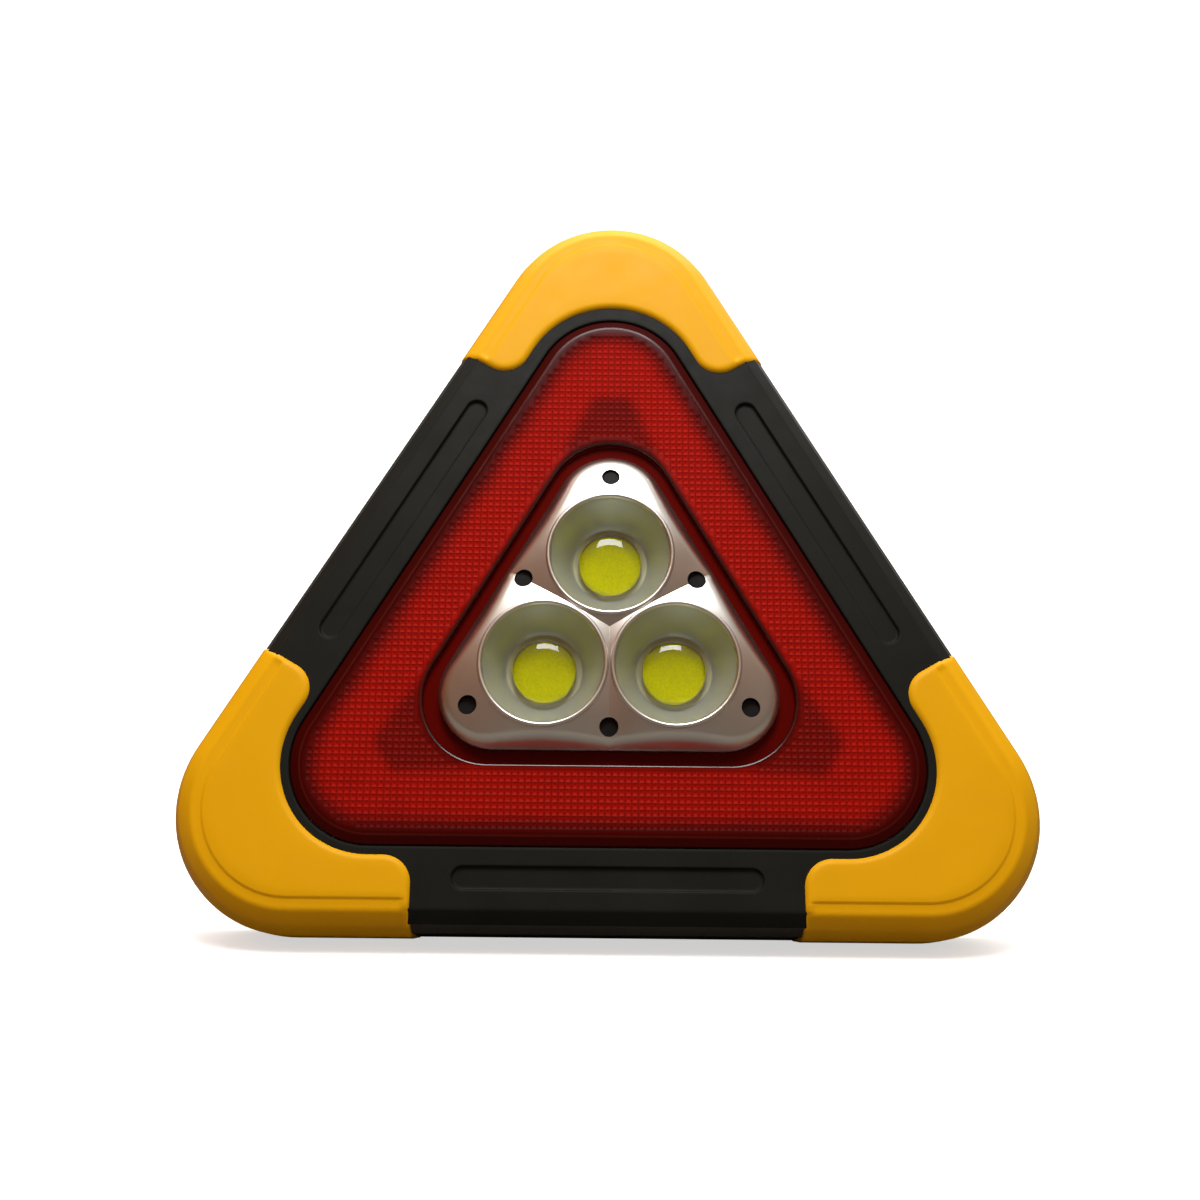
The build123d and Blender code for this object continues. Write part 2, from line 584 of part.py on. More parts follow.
def battery_cell(row):
    """Round cell lying across the lamp, with its raised end to the right."""
    end = Plane(LAMP.location * Location((-30.9, BOX_MID + row * CELL_PITCH, CELL_Z)) * Plane.YZ.location)
    with BuildPart() as cell:
        with BuildSketch(end) as can:
            Circle(CELL_R)
        extrude(can.sketch, amount=CELL_LENGTH)
        with BuildSketch(end.offset(CELL_LENGTH)) as nub:
            Circle(3.0)
        extrude(nub.sketch, amount=0.8)
    return cell.part


battery_cell_lower, battery_cell_middle, battery_cell_upper = [battery_cell(row) for row in (-1, 0, 1)]

with BuildPart() as battery_plates:
    for row in (-1, 0, 1):
        y = BOX_MID + row * CELL_PITCH
        slab(35.1, BOX_X, y - 5, y + 5, CELL_Z - 6, CELL_Z + 6)

with BuildPart() as battery_springs:
    for row in (-1, 0, 1):
        edge_on = Plane(LAMP.location * Location((0, BOX_MID + row * CELL_PITCH + 4, CELL_Z)) * Plane.XZ.location)
        with BuildSketch(edge_on) as leaf:
            Polygon((-35.6, -6), (-35.6, 6), (-35.2, 6), (-30.9, 1), (-30.9, -1), (-35.2, -6), align=None)
            Polygon((-35.2, -5.2), (-35.2, 5.2), (-31.3, 0.8), (-31.3, -0.8), align=None, mode=Mode.SUBTRACT)
        extrude(leaf.sketch, amount=8)

with BuildPart() as battery_cover:
    slab(-36.2, 36.2, -71.2, -14.2, BACK, -35.0)
    for x in (-25, 25):
        knuckle = Plane(LAMP.location * Location((x - 5, HINGE_Y, HINGE_Z)) * Plane.YZ.location)
        slab(x - 5, x + 5, -14.4, HINGE_Y, BACK, -35.0)
        with BuildSketch(knuckle) as roll:
            Circle(KNUCKLE_R)
        extrude(roll.sketch, amount=10)
        with BuildSketch(knuckle) as eye:
            Circle(COVER_PIN_R + PLAY)
        extrude(eye.sketch, amount=10, mode=Mode.SUBTRACT)
    for y in range(-64, -24, 6):
        slab(-14, 14, y - 1, y + 1, BACK, BACK + 0.6, mode=Mode.SUBTRACT)

with BuildPart() as battery_cover_pin:
    with BuildSketch(hatch_pin) as hatch_rod:
        Circle(COVER_PIN_R)
    extrude(hatch_rod.sketch, amount=2 * 38.6)

# ================= port cover =================

with BuildPart() as port_cover:
    with BuildSketch(PORT_WALL.offset(-1.7)) as flap:
        with Locations(((PORT_HINGE - 17.5) / 2, 0)):
            Rectangle(PORT_HINGE + 17.5, 12.0)
    extrude(flap.sketch, amount=1.7)
    with Locations(PORT_WALL.location * Location((PORT_HINGE, 0, PORT_PIN_DEPTH), (90, 0, 0))):
        Cylinder(PORT_KNUCKLE_R, 12.0)
        Cylinder(PORT_PIN_R + PLAY, 12.0, mode=Mode.SUBTRACT)

with BuildPart() as port_cover_pin:
    with Locations(PORT_WALL.location * Location((PORT_HINGE, 0, PORT_PIN_DEPTH), (90, 0, 0))):
        Cylinder(PORT_PIN_R, 16.0)

# ================= stand and handle =================

EYE_X = ARM_X - ARM_W / 2


def across(x, y=0.0):
    """Plane square to the stand's x axis, at x."""
    return Plane(STAND.location * Location((x, y, 0)) * Plane.YZ.location)


with BuildPart() as stand_bracket:
    with BuildSketch(STAND.offset(-ARM_D / 2)) as hoop:
        with Locations((0, -LEG / 2)):
            RectangleRounded(2 * ARM_X + ARM_W, LEG + ARM_W, ARM_BEND + ARM_W / 2)
            RectangleRounded(2 * ARM_X - ARM_W, LEG - ARM_W, ARM_BEND - ARM_W / 2, mode=Mode.SUBTRACT)
        with Locations((0, -ARM_BEND)):
            Rectangle(3 * ARM_X, 40, align=(Align.CENTER, Align.MIN), mode=Mode.SUBTRACT)
        with Locations((-ARM_X, -ARM_BEND / 2), (ARM_X, -ARM_BEND / 2)):
            Rectangle(ARM_W, ARM_BEND)
    extrude(hoop.sketch, amount=ARM_D)
    for x in (-ARM_X - ARM_W / 2, EYE_X):
        with BuildSketch(across(x)) as eye_round:
            Circle(EYE_R)
        extrude(eye_round.sketch, amount=ARM_W)
        with BuildSketch(across(x)) as eye_bore:
            Circle(SHOULDER_R + PLAY)
        extrude(eye_bore.sketch, amount=ARM_W, mode=Mode.SUBTRACT)

with BuildPart() as stand_grip:
    with BuildSketch(across(-GRIP_HALF, -LEG)) as sleeve:
        Circle(GRIP_R)
        Rectangle(ARM_W, ARM_D, mode=Mode.SUBTRACT)
    extrude(sleeve.sketch, amount=2 * GRIP_HALF)
    split(bisect_by=Plane.XY, keep=Keep.TOP)


def pivot_pieces(sections):
    """Round pieces on the pivot axis at both sides: (from x, to x, radius, bore radius)."""
    for start, end, radius, bore_r in sections:
        for low in (start, -end):
            with BuildSketch(across(low)) as disc:
                Circle(radius)
                if bore_r:
                    Circle(bore_r, mode=Mode.SUBTRACT)
            extrude(disc.sketch, amount=end - start)


with BuildPart() as pivot_screws:
    pivot_pieces([(63.6, 66.1, 4.8, 0), (56.0, 63.6, SHOULDER_R, 0), (48.0, 56.0, 2.0, 0)])

with BuildPart() as pivot_washers:
    pivot_pieces([(63.0, 63.6, 5.5, SHOULDER_R)])

# ================= wiring =================

WIRE_R = 0.8


def wire(points, bend):
    """Insulated wire along straight runs joined by arcs."""
    route = [LAMP.from_local_coords(point) for point in points]
    with BuildPart() as lead:
        with BuildLine() as path:
            FilletPolyline(*route, radius=bend)
        with BuildSketch(Plane(origin=path.line @ 0, z_dir=path.line % 0)):
            Circle(WIRE_R)
        sweep(path=path.line)
    return lead.part


BOARD_MID = BOARD_TOP - BOARD_THICK / 2
BOX_EXIT = BOX_HIGH + BOX_WALL


def battery_wire(x):
    """Lead from the battery box up to the main board's lower edge."""
    return wire([(x, BOX_EXIT, -24), (x, 8, -24), (0.7 * x, 40, BOARD_MID), (0.7 * x, BOARD_EDGE, BOARD_MID)], 8)


battery_wire_plus = battery_wire(30)
battery_wire_minus = battery_wire(-30)
lamp_wire = wire(
    [(0, BOARD_EDGE, BOARD_MID), (0, 40, BOARD_MID), (0, 8, -22), (0, 2, -16), (0, 2, -9.3), (0, 12.2, -9.3)], 2.4
)
port_wire = wire(
    [
        (*on_side(PORT_SIDE, 76.4, -5), -23.8),
        (*on_side(PORT_SIDE, 62, -5), -23.8),
        (40, 50, BOARD_MID),
        (36, 72, BOARD_MID),
        (25, 72, BOARD_MID),
    ],
    4,
)

# ================= files =================

PIECES = {
    "front_frame": front_frame.part,
    "back_shell": back_shell.part,
    "pivot_blocks": pivot_blocks.part,
    "pivot_block_screws": pivot_block_screws.part,
    "case_gasket": case_gasket.part,
    "case_screws": case_screws.part,
    "bumper_top": bumper_top,
    "bumper_left": bumper_left,
    "bumper_right": bumper_right,
    "bumper_screws": bumper_screws.part,
    "red_lens": red_lens.part,
    "lens_gasket": lens_gasket.part,
    "light_tray": light_tray.part,
    "tray_screws": tray_screws.part,
    "led_strip_right": led_strip_right,
    "led_strip_left": led_strip_left,
    "led_strip_lower": led_strip_lower,
    "red_leds": red_leds.part,
    "reflector_plate": reflector_plate.part,
    "reflector_cups": reflector_cups.part,
    "reflector_screws": reflector_screws.part,
    "cob_dome_top": cob_dome_top,
    "cob_dome_left": cob_dome_left,
    "cob_dome_right": cob_dome_right,
    "cob_emitter_top": cob_emitter_top,
    "cob_emitter_left": cob_emitter_left,
    "cob_emitter_right": cob_emitter_right,
    "cob_board_top": cob_board_top,
    "cob_board_left": cob_board_left,
    "cob_board_right": cob_board_right,
    "heat_sink": heat_sink.part,
    "heat_sink_screws": heat_sink_screws.part,
    "main_board": main_board.part,
    "board_parts": board_parts.part,
    "board_screws": board_screws.part,
    "tact_switch": tact_switch.part,
    "port_board": port_board.part,
    "usb_socket": usb_socket,
    "charge_socket": charge_socket,
    "charge_indicator": charge_indicator.part,
    "power_button": power_button.part,
    "battery_box": battery_box.part,
    "battery_box_screws": battery_box_screws.part,
    "battery_cell_lower": battery_cell_lower,
    "battery_cell_middle": battery_cell_middle,
    "battery_cell_upper": battery_cell_upper,
    "battery_plates": battery_plates.part,
    "battery_springs": battery_springs.part,
    "battery_cover": battery_cover.part,
    "battery_cover_pin": battery_cover_pin.part,
    "port_cover": port_cover.part,
    "port_cover_pin": port_cover_pin.part,
    "stand_bracket": stand_bracket.part,
    "stand_grip": stand_grip.part,
    "pivot_screws": pivot_screws.part,
    "pivot_washers": pivot_washers.part,
    "battery_wire_plus": battery_wire_plus,
    "battery_wire_minus": battery_wire_minus,
    "lamp_wire": lamp_wire,
    "port_wire": port_wire,
}

os.makedirs("parts", exist_ok=True)
for name, piece in PIECES.items():
    piece.label = name
    export_step(piece, f"parts/{name}.step")
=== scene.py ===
"""Looks of the warning triangle lamp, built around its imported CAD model.

Detailed pieces are drawn in the lamp's own coordinates, in millimetres: x to the right, y up the face and
z out of the front, with 0 on the black frame's face at the middle of the triangle. at() puts such a point
in the row frame, in metres.
"""

import json
from math import acos, atan2, ceil, cos, degrees, hypot, pi, radians, sin, sqrt

import bmesh
import bpy
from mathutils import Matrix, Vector, noise
from mathutils.geometry import delaunay_2d_cdt


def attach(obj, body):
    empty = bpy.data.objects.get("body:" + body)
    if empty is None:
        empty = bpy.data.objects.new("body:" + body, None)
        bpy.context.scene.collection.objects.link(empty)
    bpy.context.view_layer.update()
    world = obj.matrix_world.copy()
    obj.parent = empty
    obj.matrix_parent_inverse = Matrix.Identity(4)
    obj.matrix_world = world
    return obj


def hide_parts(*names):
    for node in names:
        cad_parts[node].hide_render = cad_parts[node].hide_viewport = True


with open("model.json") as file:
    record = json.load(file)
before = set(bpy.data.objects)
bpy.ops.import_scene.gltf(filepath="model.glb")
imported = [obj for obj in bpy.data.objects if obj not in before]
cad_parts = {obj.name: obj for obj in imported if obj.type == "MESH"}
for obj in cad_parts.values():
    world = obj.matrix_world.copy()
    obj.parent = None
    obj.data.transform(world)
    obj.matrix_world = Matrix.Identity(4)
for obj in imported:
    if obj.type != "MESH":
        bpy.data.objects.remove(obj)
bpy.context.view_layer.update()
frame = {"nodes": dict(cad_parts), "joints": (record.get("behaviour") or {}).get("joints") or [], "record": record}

MM = 0.001

# ---- lamp coordinates, from the frame's joints ----
JOINTS = {joint["name"]: joint for joint in frame["joints"]}
FACE_OUT = Vector(JOINTS["power_press"]["axis"]).normalized()
RIGHT = Vector((1, 0, 0))
FACE_UP = FACE_OUT.cross(RIGHT)
PIVOT = Vector(JOINTS["stand_swing"]["pos_m"])
PIVOT_Y, PIVOT_Z = 50.0, -43.5
ORIGIN = PIVOT - (FACE_UP * PIVOT_Y + FACE_OUT * PIVOT_Z) * MM


def at(x, y, z):
    """A point of the lamp, given in millimetres, in the row frame."""
    return ORIGIN + (RIGHT * x + FACE_UP * y + FACE_OUT * z) * MM


def lamp_point(point):
    """The other way round: lamp coordinates of a point of the row frame."""
    offset = point - ORIGIN
    return tuple(offset.dot(axis) / MM for axis in (RIGHT, FACE_UP, FACE_OUT))


# ---- driving dimensions: the CAD's, but for the ones marked as the photo's ----
# A triangle's REACH is how far the middles of its corner arcs lie from the lamp's middle, and its R is
# their radius. Angles are in degrees, from the lamp's right.
CORNERS = (90, 210, 330)
SIDES = (30, 150, 270)
CASE_REACH = 112.6
LENS_REACH = 85.4
OPENING_REACH = 44.0  # the photo's
PLATE_REACH = 41.6
LENS_R = 25.8
OPENING_R = 21.0  # the photo's
PLATE_R = 18.0
LOBE_END = 60.0
LOBE_FILLET = 9.0
INNER_R = {90: 30.5, 210: 28.5, 330: 28.5}  # of each bumper's inner edge; the top one is the photo's
LENS_TOP = 1.0
CUP_REACH = 24.2
CUP_R = 20.15
CUP_RIM = 8.0
CUP_SEAT = -5.5
CUP_SEAT_R = 12.5
COLLAR_SLOPE = 0.29
DOME_R = 10.2


def polar(angle, reach):
    """Point at an angle and a distance from the lamp's middle."""
    return (reach * cos(radians(angle)), reach * sin(radians(angle)))


def on_side(angle, out, along):
    """Point at a distance out along a side's normal and along from its midpoint."""
    a = radians(angle)
    return (out * cos(a) - along * sin(a), out * sin(a) + along * cos(a))


def outward(reach, x, y):
    """Distance of a point from the triangle whose corners are at reach, negative inside it."""
    sides = [x * cos(radians(s)) + y * sin(radians(s)) - reach / 2 for s in SIDES]
    nearest = max(range(3), key=lambda i: sides[i])
    if sides[nearest] <= 0:
        return sides[nearest]
    side = radians(SIDES[nearest])
    along = -x * sin(side) + y * cos(side)
    half = reach * sqrt(3) / 2
    return hypot(sides[nearest], max(0.0, abs(along) - half))


def smooth_step(low, high, value):
    """0 below low, 1 above high, and an eased climb between them."""
    t = min(1.0, max(0.0, (value - low) / (high - low)))
    return t * t * (3 - 2 * t)


def soft_min(a, b, width):
    """Lower of two heights, blended over a width."""
    h = max(width - abs(a - b), 0.0) / width
    return min(a, b) - h * h * width / 4


def rounding(distance, radius):
    """Drop of a quarter-round edge at a distance from its side."""
    if distance >= radius:
        return 0.0
    return radius - sqrt(max(0.0, radius**2 - (radius - max(0.0, distance)) ** 2))


# ================= materials =================


def color_sockets(sockets):
    return [socket for socket in sockets if socket.type == "RGBA"]


class Nodes:
    """A node tree, with short ways to add to it."""

    def __init__(self, owner):
        owner.use_nodes = True
        self.tree = owner.node_tree

    def node(self, kind, **settings):
        made = self.tree.nodes.new(kind)
        for key, value in settings.items():
            setattr(made, key, value)
        return made

    def link(self, source, target):
        self.tree.links.new(source, target)

    def feed(self, value, target):
        """Links a socket to another one's output, or sets it to a plain value."""
        if hasattr(value, "links"):
            self.link(value, target)
        else:
            target.default_value = value

    def remap(self, value, low, high, from_low=0.3, from_high=0.7):
        made = self.node("ShaderNodeMapRange")
        made.inputs["From Min"].default_value = from_low
        made.inputs["From Max"].default_value = from_high
        made.inputs["To Min"].default_value = low
        made.inputs["To Max"].default_value = high
        self.link(value, made.inputs["Value"])
        return made.outputs["Result"]

    def mix(self, factor, first, second, blend="MIX"):
        made = self.node("ShaderNodeMix", data_type="RGBA", blend_type=blend)
        self.feed(factor, made.inputs["Factor"])
        for value, target in zip((first, second), color_sockets(made.inputs)):
            self.feed(value if hasattr(value, "links") else (*value, 1.0), target)
        return color_sockets(made.outputs)[0]

    def math(self, operation, *values):
        made = self.node("ShaderNodeMath", operation=operation)
        for value, target in zip(values, made.inputs):
            self.feed(value, target)
        return made.outputs["Value"]


class Paint(Nodes):
    """A material's node tree."""

    def __init__(self, name, rough, metal=0.0, ior=1.5):
        self.material = bpy.data.materials.new(name)
        super().__init__(self.material)
        self.shader = self.tree.nodes["Principled BSDF"]
        self.shader.inputs["Roughness"].default_value = rough
        self.shader.inputs["Metallic"].default_value = metal
        self.shader.inputs["IOR"].default_value = ior
        self.place = self.node("ShaderNodeTexCoord").outputs["Object"]

    def noise(self, scale, detail=3.0, roughness=0.55):
        made = self.node("ShaderNodeTexNoise")
        made.inputs["Scale"].default_value = scale
        made.inputs["Detail"].default_value = detail
        made.inputs["Roughness"].default_value = roughness
        self.link(self.place, made.inputs["Vector"])
        return made.outputs["Fac"]

    def attribute(self, name, output="Fac"):
        return self.node("ShaderNodeAttribute", attribute_name=name).outputs[output]

    def color(self, source):
        self.link(source, self.shader.inputs["Base Color"])

    def roughness(self, source):
        self.link(source, self.shader.inputs["Roughness"])

    def bump(self, height, strength, distance):
        made = self.node("ShaderNodeBump")
        made.inputs["Strength"].default_value = strength
        made.inputs["Distance"].default_value = distance
        self.link(height, made.inputs["Height"])
        self.link(made.outputs["Normal"], self.shader.inputs["Normal"])


def plastic(name, dark, light, rough=0.45, grain=0.15, grain_scale=2600.0, gloss=0.4):
    """Moulded plastic: faint mottling, uneven gloss and a fine spark-eroded grain."""
    paint = Paint(name, rough)
    paint.shader.inputs["Specular IOR Level"].default_value = gloss
    paint.color(paint.mix(paint.remap(paint.noise(45.0, 4.0), 0.0, 1.0), dark, light))
    paint.roughness(paint.remap(paint.noise(130.0, 5.0), rough - 0.06, rough + 0.07))
    paint.bump(paint.noise(grain_scale, 2.0), grain, 0.0001)
    return paint.material


def metal(name, dark, light, rough=0.3, grain=0.1, grain_scale=1800.0, share=1.0):
    """Plated or bare metal with a slightly uneven finish."""
    paint = Paint(name, rough, metal=share)
    paint.color(paint.mix(paint.remap(paint.noise(60.0, 2.0), 0.0, 1.0), dark, light))
    paint.roughness(paint.remap(paint.noise(60.0, 2.0), rough - 0.02, rough + 0.02))
    paint.bump(paint.noise(grain_scale, 2.0), grain, 0.00002)
    return paint.material


def red_lens_paint():
    """Red prismatic plastic, painted as bright as the light that lies behind it and with painted shade along its
    grid of ridges.
    """
    paint = Paint("red lens", 0.45)
    paint.shader.inputs["Specular IOR Level"].default_value = 0.045
    # the point's painted light and shade, set in lens_values
    painted_light = paint.attribute("painted_light")
    spread = paint.node("ShaderNodeSeparateXYZ")
    paint.link(paint.attribute("cell", "Vector"), spread.inputs["Vector"])
    ridges = []
    for axis in ("X", "Y"):
        part = paint.math("FRACT", spread.outputs[axis])
        ridges.append(paint.math("ABSOLUTE", paint.math("SUBTRACT", part, 0.5)))
    # painted shade along the grid's ridges, where the prisms' edges meet
    ridge_shade = paint.remap(paint.math("MAXIMUM", *ridges), 0.0, 0.55, 0.32, 0.48)
    # cell colour: painted light from behind the lens, dark to bright
    shade = paint.mix(painted_light, (0.020, 0.0012, 0.0008), (0.375, 0.0054, 0.0012))
    # darker colour for the ridges' painted shade
    dark = paint.mix(painted_light, (0.016, 0.0012, 0.0008), (0.10, 0.0016, 0.0008))
    paint.color(paint.mix(paint.math("MULTIPLY", ridge_shade, paint.attribute("ribbed")), shade, dark))
    paint.roughness(paint.remap(paint.attribute("ribbed"), 0.16, 0.5, 0.0, 1.0))
    paint.bump(paint.noise(900.0, 2.0), 0.05, 0.0001)
    return paint.material


def clear_paint(name, tint, rough=0.02):
    paint = Paint(name, rough, ior=1.46)
    paint.shader.inputs["Transmission Weight"].default_value = 1.0
    paint.color(paint.mix(paint.remap(paint.noise(300.0, 2.0), 0.0, 1.0), tint, (1.0, 1.0, 1.0)))
    paint.bump(paint.noise(500.0, 1.0), 0.02, 0.0001)
    return paint.material


def phosphor_paint():
    """Yellow phosphor with faint specks."""
    paint = Paint("phosphor", 0.5)
    paint.shader.inputs["Specular IOR Level"].default_value = 0.05
    speck = paint.remap(paint.noise(1400.0, 2.0), 0.0, 1.0, 0.35, 0.7)
    paint.color(paint.mix(speck, (0.95, 0.945, 0.002), (0.84, 0.83, 0.0015)))
    paint.bump(paint.noise(1500.0, 2.0), 0.1, 0.0001)
    return paint.material


BLACK = plastic("black plastic", (0.0095, 0.0102, 0.0082), (0.0125, 0.0134, 0.0108), rough=0.5, gloss=0.1)
SHELL = plastic(
    "shell plastic", (0.017, 0.017, 0.014), (0.025, 0.025, 0.021), rough=0.5, grain=0.35, gloss=0.35
)
YELLOW = plastic(
    "yellow plastic", (0.82, 0.41, 0.0018), (0.86, 0.435, 0.0024), rough=0.45, grain=0.1, gloss=0.12
)
RED = red_lens_paint()
# Dark red of the lens's lip and top rim: the lens's painted shade where nothing lit lies behind it; their gloss is
# real.
RED_EDGE = plastic(
    "red lens edge", (0.030, 0.0014, 0.0010), (0.040, 0.0020, 0.0012), rough=0.2, grain=0.03, gloss=0.5
)
RED_RIM = plastic(
    "red lens rim", (0.055, 0.0026, 0.0018), (0.065, 0.0032, 0.0020), rough=0.24, grain=0.03, gloss=0.16
)
SILVER = metal("satin chrome", (0.62, 0.60, 0.55), (0.66, 0.64, 0.59), rough=0.3)
SATIN = metal("satin cup", (0.44, 0.46, 0.47), (0.47, 0.49, 0.50), rough=0.38, grain=0.05, share=0.6)
SEAT = metal("cup seat", (0.37, 0.37, 0.22), (0.41, 0.41, 0.25), rough=0.45, grain=0.05, share=0.25)
CLEAR = clear_paint("clear dome", (0.94, 0.97, 0.90))
PHOSPHOR = phosphor_paint()
SCREW_BLACK = metal("black screw", (0.012, 0.012, 0.012), (0.022, 0.022, 0.022), rough=0.4)
SCREW_STEEL = metal("zinc screw", (0.50, 0.50, 0.50), (0.62, 0.62, 0.61), rough=0.3)
RUBBER = plastic("rubber", (0.014, 0.014, 0.014), (0.024, 0.024, 0.023), rough=0.75, grain=0.4)
WHITE = plastic("white plastic", (0.74, 0.74, 0.71), (0.82, 0.82, 0.80), rough=0.35)
BOARD_WHITE = plastic("white board", (0.70, 0.70, 0.67), (0.78, 0.78, 0.75), rough=0.3)
BOARD_GREEN = plastic("green board", (0.010, 0.12, 0.045), (0.018, 0.17, 0.065), rough=0.3)
ALUMINIUM = metal("aluminium", (0.62, 0.62, 0.63), (0.72, 0.72, 0.73), rough=0.35)
BUTTON = plastic("red silicone", (0.40, 0.012, 0.010), (0.50, 0.020, 0.016), rough=0.55, grain=0.2)
CELL = plastic("cell wrap", (0.03, 0.17, 0.36), (0.045, 0.22, 0.43), rough=0.3)
WIRE_RED = plastic("red wire", (0.45, 0.015, 0.012), (0.55, 0.022, 0.018), rough=0.35)
WIRE_BLACK = plastic("black wire", (0.012, 0.012, 0.012), (0.02, 0.02, 0.02), rough=0.35)
LED = plastic("red diode", (0.50, 0.05, 0.03), (0.62, 0.08, 0.05), rough=0.25)

PAINT_OF_SLOT = {
    "frame_black": BLACK,
    "shell_black": SHELL,
    "bumper_yellow": YELLOW,
    "screw_black": SCREW_BLACK,
    "screw_steel": SCREW_STEEL,
    "seal_rubber": RUBBER,
    "grip_rubber": RUBBER,
    "lens_red": RED,
    "tray_white": WHITE,
    "board_white": BOARD_WHITE,
    "led_red": LED,
    "reflector_silver": SILVER,
    "lens_clear": CLEAR,
    "phosphor_yellow": PHOSPHOR,
    "aluminium": ALUMINIUM,
    "board_green": BOARD_GREEN,
    "electronics_black": WIRE_BLACK,
    "contact_metal": SCREW_STEEL,
    "button_rubber": BUTTON,
    "box_black": SHELL,
    "cell_wrap": CELL,
    "stand_black": SHELL,
    "wire_red": WIRE_RED,
    "wire_black": WIRE_BLACK,
}

for subpart in frame["record"]["subparts"]:
    node = frame["nodes"][subpart["node"]]
    node.data.materials.clear()
    node.data.materials.append(PAINT_OF_SLOT[subpart["material_slot"]])


# ================= mesh building =================


class Shape:
    """Mesh under construction, in the lamp's coordinates. A row is a list of its points' numbers."""

    def __init__(self):
        self.points = []
        self.faces = []

    def row(self, points):
        start = len(self.points)
        self.points += [tuple(p) for p in points]
        return list(range(start, len(self.points)))

    def band(self, first, second, closed=True):
        count = len(first)
        for i in range(count if closed else count - 1):
            j = (i + 1) % count
            self.faces.append((first[i], first[j], second[j], second[i]))

    def bands(self, rows, closed=True):
        for first, second in zip(rows, rows[1:]):
            self.band(first, second, closed)

    def cap(self, row):
        self.faces.append(tuple(row))

    def build(self, name, paint, body, slot, *nodes, sharp=38, values=None):
        mesh = bpy.data.meshes.new(name)
        mesh.from_pydata([at(*p) for p in self.points], [], self.faces)
        for vertex in mesh.vertices:
            vertex.co.z = max(0.0, vertex.co.z)
        if values:
            for key, kind, data in values:
                layer = mesh.attributes.new(key, kind, "POINT")
                field = "vector" if kind == "FLOAT_VECTOR" else "value"
                flat = [v for row in data for v in row] if kind == "FLOAT_VECTOR" else data
                layer.data.foreach_set(field, flat)
        tidy = bmesh.new()
        tidy.from_mesh(mesh)
        bmesh.ops.remove_doubles(tidy, verts=tidy.verts, dist=0.000002)
        bmesh.ops.dissolve_degenerate(tidy, edges=tidy.edges, dist=0.000001)
        bmesh.ops.recalc_face_normals(tidy, faces=tidy.faces)
        tidy.to_mesh(mesh)
        tidy.free()
        mesh.shade_smooth()
        mesh.set_sharp_from_angle(angle=radians(sharp))
        mesh.materials.append(paint)
        piece = bpy.data.objects.new(name, mesh)
        bpy.context.scene.collection.objects.link(piece)
        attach(piece, body)
        if nodes:
            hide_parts(*nodes)
        return piece


def outline(reach, radius, steps=28, runs=24):
    """Closed rounded triangle as points, the same number for every reach and radius."""
    points = []
    for corner in CORNERS:
        cx, cy = polar(corner, reach)
        arc = [radians(corner - 60 + 120 * i / steps) for i in range(steps + 1)]
        points += [(cx + radius * cos(a), cy + radius * sin(a)) for a in arc]
        nx, ny = polar(corner + 120, reach)
        end = radians(corner + 60)
        nx += radius * cos(end)
        ny += radius * sin(end)
        sx, sy = points[-1]
        points += [(sx + (nx - sx) * j / runs, sy + (ny - sy) * j / runs) for j in range(1, runs)]
    return points


def level(points, z):
    """Flat points, set at a height."""
    return [(x, y, z) for x, y in points]


def circle_at(x, y, r, z, count):
    return [(x + r * cos(2 * pi * i / count), y + r * sin(2 * pi * i / count), z) for i in range(count)]


def fillet_steps(r, z, radius, start, end, count=5):
    """(radius, level) steps of a rounded edge about (r, z), between two angles."""
    angles = [radians(start + (end - start) * i / count) for i in range(count + 1)]
    return [(r + radius * cos(a), z + radius * sin(a)) for a in angles]


def ring_links(start, count):
    """Links that close a ring of points for fill(), given its first point's number and its length."""
    return [(start + i, start + (i + 1) % count) for i in range(count)]


def fill(shape, points, links, placed, wanted):
    """Fills flat points with triangles that keep to the links, and gives the first new point's number.

    placed() gives the place of a point, from its flat place and the numbers of the given points there.
    wanted() says from its middle whether a triangle stays.
    """
    found, _, triangles, sources, _, _ = delaunay_2d_cdt(points, links, [], 0, 1e-6)
    start = len(shape.points)
    shape.points += [placed(point, source) for point, source in zip(found, sources)]
    for triangle in triangles:
        x = sum(found[i].x for i in triangle) / 3
        y = sum(found[i].y for i in triangle) / 3
        if wanted(x, y):
            shape.faces.append(tuple(start + i for i in triangle))
    return start


def drilled(piece, spots, radius, low, high):
    """Cuts round holes through a piece."""
    holes = Shape()
    for x, y in spots:
        bottom = holes.row(circle_at(x, y, radius, low, 40))
        top = holes.row(circle_at(x, y, radius, high, 40))
        holes.band(bottom, top)
        holes.cap(bottom)
        holes.cap(top)
    mesh = bpy.data.meshes.new("holes")
    mesh.from_pydata([at(*p) for p in holes.points], [], holes.faces)
    tool = bmesh.new()
    tool.from_mesh(mesh)
    bmesh.ops.recalc_face_normals(tool, faces=tool.faces)
    tool.to_mesh(mesh)
    tool.free()
    cutter = bpy.data.objects.new("holes", mesh)
    bpy.context.scene.collection.objects.link(cutter)
    cut = piece.modifiers.new("holes", "BOOLEAN")
    cut.operation = "DIFFERENCE"
    cut.solver = "EXACT"
    cut.object = cutter
    bpy.context.view_layer.update()
    done = bpy.data.meshes.new_from_object(piece.evaluated_get(bpy.context.evaluated_depsgraph_get()))
    piece.modifiers.clear()
    piece.data = done
    bpy.data.objects.remove(cutter)


# ================= red lens =================

PRISM = 2.08
PRISM_DEPTH = 0.3
LIP_R = 0.9
TOP_R = 22.6  # radius about the lens's triangle at which its top meets its bevel
GRID_OUT = 21.6  # and of the ribbed field's outer edge
GRID_IN = 22.2  # radius of the field's inner edge about the opening's triangle
WALL_FOOT = -5.2  # lower end of the outer wall
WALL_IN_R = 24.0
PANE_UNDER = -1.4
WINDOW_WALL = 1.2
LEDGE_TOP, LEDGE_UNDER = -1.65, -3.4
LEDGE_R = 16.2  # of the ledge under the reflector, about the plate's triangle
